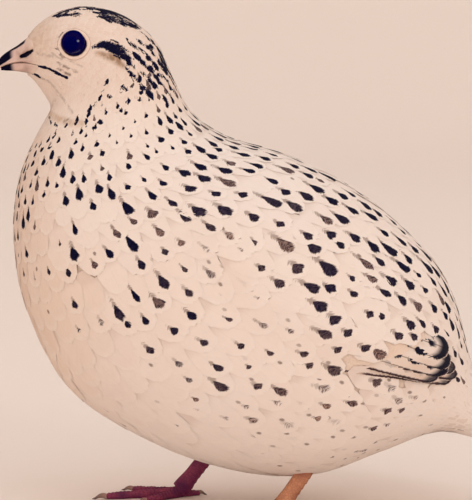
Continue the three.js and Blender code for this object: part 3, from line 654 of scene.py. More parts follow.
def looks_at(places, pitch, rng):
    """The markings of feathers whose tips are at places, pitch mm apart round the body.

    They are the spot's width, length and strength, and how brown, warm and shaded the feather is. The breast's
    darker, warmer front edge is painted shade, and the paler bottom of the belly is painted light.
    """
    x, _, z = places.T
    table = np.array(SPOTS)
    gaps = np.linalg.norm(places[:, None, [0, 2]] - table[None, :, :2], axis=-1) + 0.5
    weight = gaps**-SPOT_REACH
    width, share, strength, brown = ((weight @ table[:, 2:]) / weight.sum(1, keepdims=True)).T
    n = len(places)
    width = width * SPOT_SIZE * (1 + rng.normal(0, SPOT_SPREAD, n))
    share = share * np.clip(1 + rng.normal(0, LENGTH_SPREAD, n), *SPOT_STRETCH)
    width = np.minimum(width, WIDEST_SPOT * pitch)
    brown = brown * smooth(0.1, 0.25, strength)
    crowded = smooth(*CROWDED_FROM, x) * (1 - smooth(*CROWDED_PITCH, pitch))
    most = MOST_SPOTTED - FRONT_GAPS * in_part(x, z, FRONT)
    shown = rng.uniform(0, 1, n) < smooth(0.06, 0.5, strength) * most * (1 - crowded)
    strength = np.where(shown, smooth(*FAINT, strength + rng.normal(0, FAINT_SPREAD, n)), 0)
    usual, browner = BROWNER
    brown = np.clip(0.9 * brown + np.where(rng.uniform(0, 1, n) < BROWN_SHARE, browner, usual), 0, 1)
    # painted shade: the breast's front edge turns warmer and darker
    breast = in_part(x, z, SHADED_BREAST_EDGE)
    everywhere, belly, neck, front = WARMTH
    # painted light: the belly's bottom loses its warmth, as if lit from the floor
    warm = everywhere + belly * smooth(*BELLY_TOP, z) + neck * smooth(*NECK_FROM, z)
    warm = warm + front * (breast + in_part(x, z, LOWER_FRONT))
    shade = np.maximum(smooth(*HEAD_SHADE, z), BREAST_SHADE * breast)
    return {"mark": np.stack([width, width * share, strength], -1), "tint": np.stack([brown, warm, shade], -1)}


def spot_lattice(spots, belongs, rng):
    """Spots of the head or neck where belongs says so: their places, directions along and round, and half sizes."""
    along, around, half_long, half_wide, spread, share = spots

    def kept(places):
        return belongs(places) & (rng.uniform(0, 1, len(places)) < share)

    s, theta, _, _, places = tips_where(kept, 2.0, 6.4, round(SPOT_GIRTH / around), along, rng)
    back, over = slopes(s, theta)
    size = 1 + spread * rng.uniform(-1, 1, (len(s), 2))
    return places, unit(back), unit(over), size * [half_long, half_wide]


def head_spots():
    """Every spot of the crown, nape and neck: places, directions along and round, and half sizes."""
    rng = np.random.default_rng(SEED + 5)

    def on_crown(places):
        ahead = (places[:, 0] > CROWN_STREAKS[0]) & (places[:, 0] < CROWN_STREAKS[1])
        return ahead & (in_band(places[:, [0, 2]], CROWN_FRONT) > 0)

    def on_nape(places):
        return inside(places[:, [0, 2]], NAPE)

    def on_neck(places):
        return inside(places[:, [0, 2]], NECK)

    zones = (CROWN_SPOTS, on_crown), (NAPE_SPOTS, on_nape), (NECK_SPOTS, on_neck)
    made = [spot_lattice(spots, belongs, rng) for spots, belongs in zones]
    return [np.concatenate(parts) for parts in zip(*made)]


def in_spots(points, spots):
    """How deep points lie in the nearest of the spots, in mm, negative outside."""
    deepest = np.full(len(points), -9.0)
    for place, back, over, (half_long, half_wide) in zip(*spots):
        near = np.flatnonzero(np.abs(points - place).max(axis=1) < 2 * half_long + 1)
        offset = points[near] - place
        long = np.abs(offset @ back) / half_long
        wide = np.abs(offset @ over) / half_wide
        radius = (long**SPOT_CORNER + wide**SPOT_CORNER) ** (1 / SPOT_CORNER)
        deepest[near] = np.maximum(deepest[near], (1 - radius) * half_wide)
    return deepest


def in_band(side, band):
    """How deep x, z points lie in a band given by a line and its half widths, in mm."""
    band = np.array(band)
    return np.interp(side[..., 0], band[:, 0], band[:, 2]) - beside(side, band[:, :2])


def head_ink(points):
    """Per vertex: how dark, how brown and how tan the markings of the head and neck are. The tan also holds painted
    shade: in the crease under the throat, and in part on the forehead.
    """
    flat = points.reshape(-1, 3)
    ink = np.zeros(flat.shape)
    near = np.flatnonzero(flat[:, 2] > HEAD_FROM[0])
    place = flat[near]
    side, y = place[:, [0, 2]], np.abs(place[:, 1])
    middle = 1 - smooth(CROWN_MIDDLE_HALF * 0.5, CROWN_MIDDLE_HALF * 1.5, y)
    crown = smooth(-RAGGED, RAGGED, in_band(side, CROWN) - 3 * middle)
    crown = crown * lerp(*CROWN_DARK, smooth(*CROWN_TURN, side[:, 0]))
    ear = np.where(y > EAR_FROM, in_band(side, EAR), -9)
    below_ear = np.where(y > EAR_FROM, smooth(-0.6, 0.9, in_band(side, EAR_SHADE)), 0)
    dark = np.maximum(crown, smooth(-RAGGED, RAGGED, np.maximum(ear, in_spots(place, HEAD_SPOTS))))
    brown = 0.5 * below_ear
    for line, half, strength, is_dark in FACE_LINES:
        shown = strength * (1 - smooth(half * 0.35, half, beside(side, line))) * (y > 1.5)
        if is_dark:
            dark = np.maximum(dark, shown)
        else:
            brown = np.maximum(brown, shown)
    # painted shade along the crease under the throat, stronger towards the sides
    crease = 0.75 * (1 - smooth(0.3, 1.5, beside(side, THROAT_CREASE_SHADE))) * (0.3 + 0.7 * smooth(2, 8, y))
    # the forehead's tan, partly its own colour and partly painted shade
    forehead = FOREHEAD_TAN_AND_SHADE * smooth(-50, -60, side[:, 0]) * smooth(129, 136, side[:, 1])
    tan = np.maximum.reduce([crease, below_ear, forehead])
    ink[near] = np.stack([dark, brown, tan], -1) * smooth(*HEAD_FROM, place[:, 2])[:, None]
    return ink.reshape(points.shape)


# ---------------------------------------------------------------- materials


def srgb(r, g, b):
    """A colour given as it looks on screen, 0 to 255, as linear light."""
    return tuple(c / 12.92 if c <= 0.04045 else ((c + 0.055) / 1.055) ** 2.4 for c in (r / 255, g / 255, b / 255))


class Wire:
    """A node's output. Arithmetic on it adds nodes to its material."""

    def __init__(self, nodes, socket):
        self.nodes, self.socket = nodes, socket

    def math(self, operation, *others):
        return self.nodes.made("Math", self, *others, operation=operation)

    def __add__(self, other):
        return self.math("ADD", other)

    def __sub__(self, other):
        return self.math("SUBTRACT", other)

    def __mul__(self, other):
        return self.math("MULTIPLY", other)

    def __truediv__(self, other):
        return self.math("DIVIDE", other)

    def __abs__(self):
        return self.math("ABSOLUTE")

    def ramp(self, low, high, to_low=0.0, to_high=1.0):
        """A smooth step from to_low at low to to_high at high."""
        if isinstance(low, float) and isinstance(high, float) and low > high:
            low, high, to_low, to_high = high, low, to_high, to_low
        return self.nodes.made("MapRange", self, low, high, to_low, to_high, interpolation_type="SMOOTHSTEP")


def radius_of(across, along):
    """The distance of a place from the middle of an oval, in its half sizes."""
    return (across * across + along * along).math("SQRT")


class Nodes:
    """Short calls for a material's node tree."""

    def __init__(self, name):
        self.material = bpy.data.materials.new(name)
        self.material.use_nodes = True
        self.tree = self.material.node_tree
        self.tree.nodes.clear()
        self.shader = self.new("BsdfPrincipled")
        self.put(self.new("OutputMaterial").inputs[0], Wire(self, self.shader.outputs[0]))
        self.place = Wire(self, self.new("TexCoord").outputs["Object"])

    def put(self, socket, value):
        if isinstance(value, Wire):
            self.tree.links.new(value.socket, socket)
        elif socket.type == "RGBA":
            socket.default_value = (*value, 1)
        else:
            socket.default_value = value

    def new(self, kind, *given, **settings):
        """A node with its settings and, in their order, its first inputs."""
        node = self.tree.nodes.new("ShaderNode" + kind)
        for key, value in settings.items():
            setattr(node, key, value)
        for socket, value in zip(node.inputs, given):
            self.put(socket, value)
        return node

    def made(self, kind, *given, **settings):
        """The first output of such a node."""
        return Wire(self, self.new(kind, *given, **settings).outputs[0])

    def attribute(self, name):
        """The three numbers of an attribute."""
        vector = Wire(self, self.new("Attribute", attribute_name=name).outputs["Vector"])
        return [Wire(self, number) for number in self.new("SeparateXYZ", vector).outputs]

    def vector(self, *numbers):
        return self.made("CombineXYZ", *numbers)

    def noise(self, vector, scale, detail=2.0, roughness=0.5):
        return self.made("TexNoise", vector, 0.0, scale, detail, roughness)

    def mix(self, factor, a, b):
        node = self.new("Mix", factor, data_type="RGBA")
        self.put(node.inputs[6], a)
        self.put(node.inputs[7], b)
        return Wire(self, node.outputs[2])

    def layers(self, colour, *over):
        """Colours laid over one another, each given with how much of it shows."""
        for factor, top in over:
            colour = self.mix(factor, colour, top)
        return colour

    def bump(self, height, distance, strength, under=None):
        node = self.new("Bump", strength, distance)
        self.put(node.inputs["Height"], height)
        if under:
            self.put(node.inputs["Normal"], under)
        return Wire(self, node.outputs[0])

    def shaded(self, **values):
        """Sets the shader's sockets, by name with _ for a space, and gives the material."""
        for key, value in values.items():
            self.put(self.shader.inputs[key.replace("_", " ")], value)
        return self.material


CREAM = srgb(240, 227, 219)
CREAM_WARM = srgb(235, 210, 190)
FRINGE = srgb(246, 236, 227)
# a grey for shafts, barbs and down, and the painted shade at each feather's root
GREY_AND_ROOT_SHADE = srgb(205, 180, 165)
FACE_TINT = srgb(226, 201, 185)
NAVY_BLACK = srgb(5, 3, 42)
NAVY_PALE = srgb(38, 42, 78)
SPOT_BROWN = srgb(112, 86, 74)
SPOT_DARK = srgb(62, 46, 54)  # the streaks of a brown spot
SPOT_PALE = srgb(182, 150, 134)
TAN = srgb(190, 150, 112)
BUFF = srgb(222, 184, 150)
QUILL_BROWN = srgb(74, 46, 50)

SEED_SCALE = 37.0  # turns a feather's random number into a place in a noise
BARB_NOISE = 900.0  # the scale of noise as fine as barbs
BARBS_PER_MM = 5.0
BARB_SLANT = 0.75  # how far barbs run towards the tip for each mm outwards
SPOT_AT = 0.8  # share of a feather's length where its spot lies
SPOT_OFF = 1.2  # the range in mm over which spots lie beside the shaft
SPOT_TAPER = 0.3  # how much broader the spot is at its tip end than at its root end
SPECK_WIDE = 0.6  # half sizes in mm of the speck beside a spot, and how far back it lies
SPECK_LONG = 0.9
SPECK_BACK = 2.6
TRAIL_AT = 1.0  # how far towards the root, in half spot lengths, the brown streaks behind a spot have their middle
TRAIL_LONG = 1.3  # their half length, in the same measure
TRAIL_WIDE = 0.42  # their half width, as a share of the spot's width
BLOT_GAP = 4.8  # from one dark blot to the next along a long feather of the wing, in mm
BLOT_LONG = 1.7  # half its length and width
BLOT_WIDE = 1.15
BLOTS_OVER = [4.0, 5.5, 12.0, 27.0]  # how far from the tip they begin, are full, fade and end


def barbs(n, vane, shape):
    """Fine slanting lines either side of the shaft, from 0 to 1, and places along the barbs and the shaft in mm."""
    across = abs(vane[0]) * shape[1] * 0.5
    along = vane[1] * shape[0]
    line = along - across * BARB_SLANT
    wobble = n.noise(n.vector(across, line, shape[2] * 50.0), 0.8)
    turns = (line + wobble * 0.5) * (BARBS_PER_MM * 2 * math.pi)
    return turns.math("SINE") * 0.5 + 0.5, line, along


def plumage_material(name):
    """Cream contour feathers with a dark spot near each tip, and fine lines on the face."""
    n = Nodes(name)
    vane, mark, tint, shape, ink = (n.attribute(key) for key in ("vane", "mark", "tint", "shape", "ink"))
    wave, line, _ = barbs(n, vane, shape)
    seed = shape[2] * SEED_SCALE
    beside_shaft = vane[0] * shape[1] * 0.5
    ground = n.layers(
        CREAM,
        # warmth, which is left off the bottom of the belly as painted light and added to the breast's edge as painted
        # shade
        (tint[1] + (n.noise(n.place, 28.0, 3.0) - 0.5) * 0.6, CREAM_WARM),
        # darker on the head, and on the breast's front edge as painted shade
        (tint[2] * 0.55, FACE_TINT),
        (shape[2] * 0.3 - 0.05, FRINGE),
        # painted shade: darker towards each feather's root, where the feathers ahead lie over it
        (vane[1].ramp(0.5, 0.25, 0.0, 0.3), GREY_AND_ROOT_SHADE),
        (vane[1].ramp(0.84, 1.0, 0.0, 0.3), FRINGE),
        (abs(beside_shaft).ramp(0.12, 0.0, 0.0, 0.14), GREY_AND_ROOT_SHADE),
        (wave * 0.06, GREY_AND_ROOT_SHADE),
        # tan, which also paints the shade in the throat's crease and in part on the forehead
        (ink[2] * n.noise(n.place, 700.0).ramp(0.35, 0.65, 0.45, 0.9), TAN),
    )

    # the spot is an oval on the shaft, whose edge runs out along the barbs; long and wide are in its half sizes
    sideways = beside_shaft + (n.noise(n.vector(seed, 3.0), 1.0, 0.0) - 0.5) * SPOT_OFF
    lengthwise = (vane[1] - SPOT_AT) * shape[0]
    long = lengthwise / (mark[1] * 0.5)
    wide = sideways / (mark[0] * (long * SPOT_TAPER + 0.5))
    fray = n.noise(n.vector(sideways, line * 5.0, seed), 1.0)
    lump = n.noise(n.vector(sideways, lengthwise, seed), 0.7)
    radius = radius_of(wide, long) + (fray - 0.5) * 0.5 + (lump - 0.5) * 0.36
    streaky = n.noise(n.vector(sideways * 0.5, line * 3.0, seed), 1.0, 1.0)
    solid = streaky.ramp(0.42, 0.55).math("MAXIMUM", mark[2].ramp(0.45, 0.75))
    spot = radius.ramp(1.12, mark[2] * 0.6 + 0.3) * solid * mark[2].ramp(0.0, 0.55)
    navy = n.mix(fray.ramp(0.45, 0.75, 0.0, 0.6), NAVY_BLACK, NAVY_PALE)
    mottled = n.mix(fray.ramp(0.4, 0.6), SPOT_DARK, SPOT_PALE)
    spot_colour = n.mix(tint[0] + radius.ramp(0.8, 1.1, 0.0, 0.35), navy, mottled)

    # brown streaks trail from it towards the feather's root, and on some feathers a brown speck lies beside it
    trail = radius_of(sideways / (mark[0] * TRAIL_WIDE), (long + TRAIL_AT) / TRAIL_LONG)
    trail = (trail + (streaky - 0.5) * 1.6).ramp(0.9, 0.4) * mark[2] * 0.6
    speck = radius_of((sideways - (seed * 0.12 - 2.2)) / SPECK_WIDE, (lengthwise + SPECK_BACK) / SPECK_LONG)
    speck = (speck + (fray - 0.5) * 0.9).ramp(1.1, 0.4, 0.0, 0.75)
    speck = speck * shape[2].ramp(0.4, 0.6) * tint[0].ramp(0.2, 0.4)

    # the barbs break up the edges of the markings on the head
    broken = (fray - 0.5 + (shape[2] - 0.5) * 0.7) * ink[0].ramp(0.02, 0.35) + ink[0]
    colour = n.layers(
        ground,
        (trail, SPOT_BROWN),
        (speck, SPOT_BROWN),
        (spot, spot_colour),
        (ink[1] * n.noise(n.place, BARB_NOISE).ramp(0.3, 0.6), SPOT_BROWN),
        (broken.ramp(0.4, 0.58), navy),
    )
    down = n.bump(n.noise(n.place, BARB_NOISE, 3.0, 0.6), 0.00012, 0.35)
    return n.shaded(
        Base_Color=colour,
        Roughness=0.8,
        Sheen_Weight=0.03,
        Sheen_Roughness=0.5,
        Specular_IOR_Level=0.1,
        Normal=n.bump(wave, 0.00006, 0.25, down),
    )


def skin_material(name):
    """Downy feather bases between and under the contour feathers."""
    n = Nodes(name)
    fluff = n.noise(n.place, 420.0, 4.0, 0.65)
    colour = n.layers(
        n.mix(n.noise(n.place, 30.0).ramp(0.3, 0.7), CREAM_WARM, GREY_AND_ROOT_SHADE),
        (fluff * 0.4, FRINGE),
        (n.attribute("ink")[0].ramp(0.4, 0.6), NAVY_BLACK),
    )
    return n.shaded(
        Base_Color=colour,
        Roughness=0.85,
        Sheen_Weight=0.15,
        Specular_IOR_Level=0.2,
        Normal=n.bump(fluff, 0.0006, 0.8),
    )


def quill_material(name):
    """Long flight and tail feathers: pale, with dark brown edges, and a dark band that follows the tip."""
    n = Nodes(name)
    vane, mark, tint, shape = (n.attribute(key) for key in ("vane", "mark", "tint", "shape"))
    wave, line, along = barbs(n, vane, shape)
    seed = shape[2] * SEED_SCALE
    beside_shaft = vane[0] * shape[1] * 0.5
    to_tip = shape[0] - along
    to_edge = (vane[2] * shape[1] * 0.5).math("MINIMUM", to_tip * 0.8)
    ragged = n.noise(n.vector(beside_shaft * 0.6, line * 1.5, seed), 1.0, 3.0)
    patchy = n.noise(n.vector(along * 0.25, beside_shaft, seed), 0.6)
    wander = to_edge + (ragged - 0.5) * 0.6
    broken = n.noise(n.vector(along * 0.12, seed), 1.0, 1.0).ramp(0.28, 0.42)
    band = wander.ramp(0.3, 0.55) * wander.ramp(mark[0], mark[0] + 0.5, 1.0, 0.0)
    band = band * to_tip.ramp(mark[1], mark[1] + 2.5, 1.0, 0.0) * mark[2]

    # on the widest feathers dark blots lie along the shaft behind the band
    lengthwise = (((to_tip + seed) / BLOT_GAP).math("FRACT") - 0.5) * (BLOT_GAP / BLOT_LONG)
    radius = radius_of(beside_shaft / BLOT_WIDE, lengthwise) + (ragged - 0.5) * 1.2
    start, full, fade, end = BLOTS_OVER
    blot = radius.ramp(1.05, 0.75) * mark[0].ramp(1.8, 2.4) * to_tip.ramp(start, full) * to_tip.ramp(end, fade)

    colour = n.layers(
        n.mix(patchy * 0.6 + 0.1, CREAM, CREAM_WARM),
        (tint[1] * patchy.ramp(0.35, 0.65), BUFF),
        (wave * 0.12, GREY_AND_ROOT_SHADE),
        (abs(beside_shaft).ramp(0.26, 0.06, 0.0, 0.65), SPOT_BROWN),
        (wander.ramp(0.05, 0.2) * wander.ramp(0.95, 0.55) * broken * tint[0], QUILL_BROWN),
        (band, NAVY_BLACK),
        (blot, NAVY_BLACK),
    )
    down = n.bump(n.noise(n.place, BARB_NOISE), 0.0001, 0.25)
    return n.shaded(
        Base_Color=colour,
        Roughness=0.6,
        Sheen_Weight=0.08,
        Specular_IOR_Level=0.3,
        Normal=n.bump(wave, 0.00008, 0.5, down),
    )


HORN_PINK = srgb(228, 196, 184)
HORN_GREY = srgb(200, 170, 156)
HORN_DARK = srgb(66, 44, 62)
HORN_PALE = srgb(232, 204, 190)
EYE_NAVY = srgb(3, 4, 72)
IRIS_BROWN = srgb(22, 12, 62)
LID_CREAM = srgb(240, 216, 200)
LID_PINK = srgb(226, 194, 178)
LID_DARK = srgb(150, 116, 106)
CLAW_HORN = srgb(176, 140, 128)
CLAW_TIP = srgb(50, 34, 46)
LEG_ORANGE = srgb(214, 150, 112)  # the near leg's skin, and between its scales
LEG_RUST = srgb(160, 96, 74)
SHADED_LEG_PLUM = srgb(154, 62, 92)  # and the far leg's: the same skin painted darker, as painted shade
SHADED_LEG_PURPLE = srgb(92, 20, 76)


def horn_material(name):
    """The bill: pinkish horn with fine growth lines, dark towards its tip and worn paler along its edges."""
    n = Nodes(name)
    dark, slit, edge = n.attribute("form")
    seam = n.attribute("seam")[0]
    stretched = n.made("VectorMath", n.place, (60, BARB_NOISE, BARB_NOISE), operation="MULTIPLY")
    lines = n.noise(stretched, 1.0, 3.0, 0.6)
    cloud = n.noise(n.place, 260.0, 3.0)
    colour = n.layers(
        n.mix(cloud.ramp(0.35, 0.7), HORN_PINK, HORN_GREY),
        (lines * 0.14, HORN_DARK),
        (seam, FACE_TINT),
        (edge * 0.35, HORN_PALE),
        # the nostril's slit painted black, as painted shade inside the opening
        (slit.ramp(0.25, 0.75), NAVY_BLACK),
        ((dark + (cloud - 0.5) * 0.5).ramp(0.08, 0.85), NAVY_BLACK),
    )
    return n.shaded(
        Base_Color=colour,
        Roughness=seam * 0.28 + lines.ramp(0.2, 0.8, 0.36, 0.52),
        Specular_IOR_Level=0.3,
        Coat_Weight=0.08,
        Coat_Roughness=0.3,
        Normal=n.bump(lines, 0.00008, 0.5),
    )


def eye_material(name):
    """A dark wet eye: navy black with a faint brown iris round the pupil."""
    n = Nodes(name)
    out, turn, _ = n.attribute("form")
    rays = n.noise(n.vector(turn * 9.0, out), 3.0)
    iris = out.ramp(0.5, 0.6) * out.ramp(0.96, 0.8)
    return n.shaded(
        Base_Color=n.mix(iris * rays.ramp(0.3, 0.7), EYE_NAVY, IRIS_BROWN),
        Roughness=n.noise(n.place, 300.0).ramp(0.3, 0.7, 0.05, 0.09),
        Specular_IOR_Level=0.1,
        Coat_Weight=0.8,
        Coat_Roughness=0.02,
    )


def lid_material(name):
    """The bare rim round the eye."""
    n = Nodes(name)
    grain = n.noise(n.place, 1500.0, 3.0)
    colour = n.mix(grain.ramp(0.3, 0.8, 0.0, 0.5), LID_CREAM, LID_PINK)
    colour = n.mix(n.attribute("form")[0], colour, LID_DARK)
    return n.shaded(Base_Color=colour, Roughness=0.6, Specular_IOR_Level=0.3, Normal=n.bump(grain, 0.0001, 0.5))


def leg_material(name, pale, dark):
    """Scaly leg skin: paler scale faces, darker between them, with a waxy gloss."""
    n = Nodes(name)
    groove, claw, to_tip = n.attribute("form")
    cells = n.new("TexVoronoi", n.place, feature="DISTANCE_TO_EDGE")
    n.put(cells.inputs["Scale"], 1100.0)
    cell = Wire(n, cells.outputs["Distance"]).ramp(0.02, 0.16)
    cloud = n.noise(n.place, 180.0, 3.0)
    colour = n.layers(
        n.mix(cloud.ramp(0.3, 0.75), pale, dark),
        (cell * -0.4 + 0.4, dark),
        (groove * 0.75, dark),
        (claw, n.mix(to_tip * 0.8, CLAW_HORN, CLAW_TIP)),
    )
    return n.shaded(
        Base_Color=colour,
        Roughness=cell.ramp(0.0, 1.0, 0.6, 0.42),
        Specular_IOR_Level=0.45,
        Coat_Weight=0.08,
        Coat_Roughness=0.3,
        Normal=n.bump(cell, 0.00008, 0.6, n.bump(cloud, 0.0003, 0.3)),
    )


# ---------------------------------------------------------------- contour feathers

# Each lattice of feathers: sections from and until, feathers round the body, least row spacing in mm.
HEAD_LATTICE = [0.3, 6.15, 76, 1.25]
BODY_LATTICE = [5.75, 16.75, 38, 2.2]
BODY_JITTER = 0.14
ROW_PITCH = 0.92  # row spacing as a share of the spacing round the body
OVERLAP = 2.3  # a feather's length in row spacings, on the body and on the head
HEAD_OVERLAP = 2.6
BREADTH = 1.34  # a feather's width in its spacings round the body, and on the head
HEAD_BREADTH = 1.25
EYE_CLEAR = 4.35  # no feather ends closer to the middle of an eye
BILL_CLEAR = 127.6  # above this height none ends ahead of the bare edge
COVERED = 0.8  # where the long feathers show more than this, no small one ends
BACK_TO, BELLY_FROM = 1.0, 2.25  # the angles at which the plumage is divided, from the bird's top
BREAST_FROM = 1.35
NECK_TO, BREAST_TO, RUMP_FROM = 7.4, 9.6, 13.1  # and the sections
SKIN_LIFT = -0.35
SKIN_RINGS, SKIN_AROUND = 190, 120


def feather_tips(first, last, count, least, rng, jitter=0.09):
    """The tips of a lattice of feathers: section, angle, and the spacings along and round the body there in mm.

    Each is moved by jitter of a spacing at random.
    """
    tips = []
    section = first
    stagger = 0
    around = 2 * math.pi / count
    while section < last:
        theta = (np.arange(count) + stagger) * around
        per_s, per_theta = reaches(section, theta)
        pitch = max(ROW_PITCH * np.mean(per_theta) * around, least) / np.mean(per_s)
        s = section + pitch * rng.normal(0, jitter, count)
        angle = theta + around * rng.normal(0, jitter, count)
        tips.append(np.stack([s, angle, pitch * per_s, around * per_theta], -1))
        section += pitch
        stagger = 0.5 - stagger
    return np.concatenate(tips)


def tips_where(kept, *lattice):
    """The columns of a lattice of feather tips, and their places on the plumage, where kept says so of the places."""
    tips = feather_tips(*lattice)
    places = plumage(tips[:, 0], tips[:, 1], 0)
    shown = kept(places)
    return *tips[shown].T, places[shown]


def piece_of(s, theta, places):
    """The name of the piece that each feather belongs to."""
    theta = np.abs((theta + math.pi) % (2 * math.pi) - math.pi)
    names = np.full(len(s), "flank_plumage", dtype=object)
    names[theta < BACK_TO] = "back_plumage"
    names[theta > BELLY_FROM] = "belly_plumage"
    names[(s < BREAST_TO) & (theta > BREAST_FROM)] = "breast_plumage"
    names[s > RUMP_FROM] = "rump_plumage"
    names[s < NECK_TO] = "neck_plumage"
    names[on_wing(places) & (places[:, 1] < 0)] = "wing_left_coverts"
    names[on_wing(places) & (places[:, 1] > 0)] = "wing_right_coverts"
    return names


PIECES = {f"{part}_plumage": ("body", "plumage") for part in ("neck", "breast", "back", "flank", "belly", "rump")}
PIECES["wing_left_coverts"] = ("wing_left", "wing_feathers")
PIECES["wing_right_coverts"] = ("wing_right", "wing_feathers")


def body_plumage(material):
    """The small feathers from the neck to the tail, in one piece for each part of the body."""
    rng = np.random.default_rng(SEED)

    def kept(places):
        return quills_shown(places) <= COVERED

    s, theta, along, around, places = tips_where(kept, *BODY_LATTICE, rng, BODY_JITTER)
    names = piece_of(s, theta, places)
    for name, (node, slot) in PIECES.items():
        one = names == name
        build = Build()
        look = looks_at(places[one], around[one], rng)
        grow_feathers(build, s[one], theta[one], OVERLAP * along[one], BREADTH * around[one], rng, look)
        build.make(name, material, node)


def head_plumage(material):
    """The smallest feathers, whose markings come from their ink and not from a spot each."""
    rng = np.random.default_rng(SEED + 1)

    def kept(places):
        x, _, z = places.T
        return (from_eye(places) >= EYE_CLEAR) & ((x >= bare_edge(z) - 0.1) | (z <= BILL_CLEAR))

    s, theta, along, around, places = tips_where(kept, *HEAD_LATTICE, rng)
    length, width = HEAD_OVERLAP * along, HEAD_BREADTH * around
    look = looks_at(places, around, rng)
    look["mark"][:, 2] = 0
    build = Build()
    grow_feathers(build, s, theta, length, width, rng, look, rows=5, columns=5, lift=0.036, arch=0.01, rough=1.3)
    build.make("head_plumage", material, "body")


def skin(material):
    """The closed downy surface under the feathers."""
    s = np.linspace(0.03, BODY_END - 0.03, SKIN_RINGS)[:, None]
    grid = plumage(s, circle(SKIN_AROUND)[::-1], SKIN_LIFT)
    build = Build()
    loft(build, grid, ink=head_ink(grid))
    build.make("body_down", material, "body")


# ---------------------------------------------------------------- flight feathers

# Each long feather of a folded wing, seen from the side: root x, z, tip x, z, half width and how far it stands out
# at its tip, as in the CAD, and its look: the dark band's width, its reach up the feather, strength, brown and buff.
TERTIALS = [
    ([12.0, 87.0], [46.5, 67.0], 6.4, 4.2, [3.0, 2.4, 0.9, 0.6, 0.0]),
    ([12.0, 81.5], [50.5, 60.5], 6.2, 3.9, [3.0, 2.4, 1.0, 0.8, 0.0]),
    ([12.0, 75.5], [54.0, 54.5], 5.8, 3.6, [3.0, 2.2, 1.0, 1.0, 0.0]),
    ([12.0, 69.5], [57.0, 49.5], 5.2, 3.3, [3.0, 2.2, 1.0, 1.0, 0.05]),
]
SECONDARIES = [
    ([12.0, 64.0], [57.5, 46.3], 4.4, 3.0, [2.6, 2.0, 1.0, 1.0, 0.1]),
    ([12.0, 59.0], [56.4, 44.2], 3.8, 2.7, [2.4, 2.0, 1.0, 1.0, 0.15]),
    ([13.5, 54.5], [54.0, 42.6], 3.3, 2.4, [2.0, 1.8, 0.9, 1.0, 0.3]),
]
PRIMARIES = [
    ([25.0, 56.5], [59.6, 43.8], 2.8, 2.1, [1.8, 1.8, 0.9, 1.0, 0.5]),
    ([22.0, 51.8], [60.4, 41.9], 2.6, 1.7, [1.6, 1.8, 0.9, 1.0, 0.35]),
    ([19.1, 48.8], [58.6, 40.6], 2.4, 1.3, [1.4, 1.6, 0.8, 1.0, 0.25]),
]
SHAFT_BULGE = 1.5  # how far each shaft bows upwards
# Below this line the long feathers show.
COVERTS_END = np.array([[22, 46.6], [28, 46.5], [33, 46.9], [41, 48.2], [48, 50.4], [54, 54], [60, 58]])
UPPER_TUCK = [-1.0, 6.0]  # between these distances below the wing's upper edge its feathers rise off the back
LOWEST_STACK = 1.3  # how far the lowest and the highest long feathers stand out in the CAD
HIGHEST_STACK = 4.2
STACK = [0.25, 2.3]  # and above the coverts' surface here
HIDDEN = -0.9  # how deep they lie under the coverts
QUILL_THICK = 0.4
RIPPLE = 0.04


def over_coverts(x, z):
    """How far places lie below the line where the coverts end, in mm."""
    return np.interp(x, *COVERTS_END.T) - z


def quills_shown(places):
    """From 0 where coverts lie over the long feathers of a wing to 1 where those show."""
    x, y, z = np.moveaxis(places, -1, 0)
    within = inside(places[..., [0, 2]], WING_OUTLINE) & (np.abs(y) > 9)
    return np.where(within, smooth(-1.5, 2.5, over_coverts(x, z)) * (x > COVERTS_END[0, 0]), 0)


def long_vane(outline, length, wide, sharp, fray):
    """Places on a long feather in mm: along it from its root, and across."""
    u, v, half = outline
    along = v[:, None] * length + fray * smooth(0.85, 1, v)[:, None] - round_tip(u, v, sharp) * wide
    return along, u * half[:, None] * wide


def add_long(build, top, spine, outline, length, wide, look, rng):
    """Adds a long feather. look is its band's width, reach and strength, and how brown and buff it is."""
    points = np.concatenate([top.reshape(-1, 3), spine])[None]
    marks = {"mark": np.array([look[:3]]), "tint": np.array([[*look[3:], 0]])}
    add_leaves(build, points, outline, np.array([[length, 2 * wide, rng.uniform()]]), marks)


def flight_feathers(side, material):
    """The long feathers of one folded wing, each on the one below it, out from under the coverts."""
    rng = np.random.default_rng(SEED + 10 + side)
    outline = u, v, _ = feather_outline(30, 13, root_width=0.42, widest=0.4, narrowing=0.3)
    columns = len(u)
    build = Build()
    for root, tip, wide, lift, look in PRIMARIES[::-1] + SECONDARIES[::-1] + TERTIALS[::-1]:
        run = np.subtract(tip, root)
        length = np.hypot(*run)
        ahead = run / length
        fray = (rng.uniform(-1, 1, columns) + EVEN_FRAY * zigzag(columns)) * wide * FRAY / columns
        p, q = long_vane(outline, length, wide, QUILL_TIP, fray)
        x = root[0] + ahead[0] * p - ahead[1] * q
        z = root[1] + ahead[1] * p + ahead[0] * q + SHAFT_BULGE * np.sin(math.pi * v)[:, None]
        s, theta = place_of(x, z, side)
        level = (lift - LOWEST_STACK) / (HIGHEST_STACK - LOWEST_STACK)
        first = COVERTS_END[0, 0]
        shown = smooth(-2.0, 3.0, over_coverts(x, z)) * smooth(first - 4, first + 6, x)
        tuck = smooth(*UPPER_TUCK, beside(np.stack([x, z], -1), WING_UPPER_EDGE))
        arch = 0.3 * (1 - u**2) * min(1, wide / 4)
        ripple = RIPPLE * np.sin(p * 1.7 + q * 0.8 + rng.uniform(0, 6))
        raised = lerp(*STACK, level) * lerp(0.35, 1, tuck)
        height = lerp(HIDDEN + 0.3 * level, raised, shown) + arch + ripple
        spine = plumage(keel(s), keel(theta), keel(height) - QUILL_THICK)
        add_long(build, plumage(s, theta, height), spine, outline, length, wide, look, rng)
    wing = f"wing_{SIDE_NAMES[side]}"
    build.make(f"{wing}_flight_feathers", material, wing)


# ---------------------------------------------------------------- tail

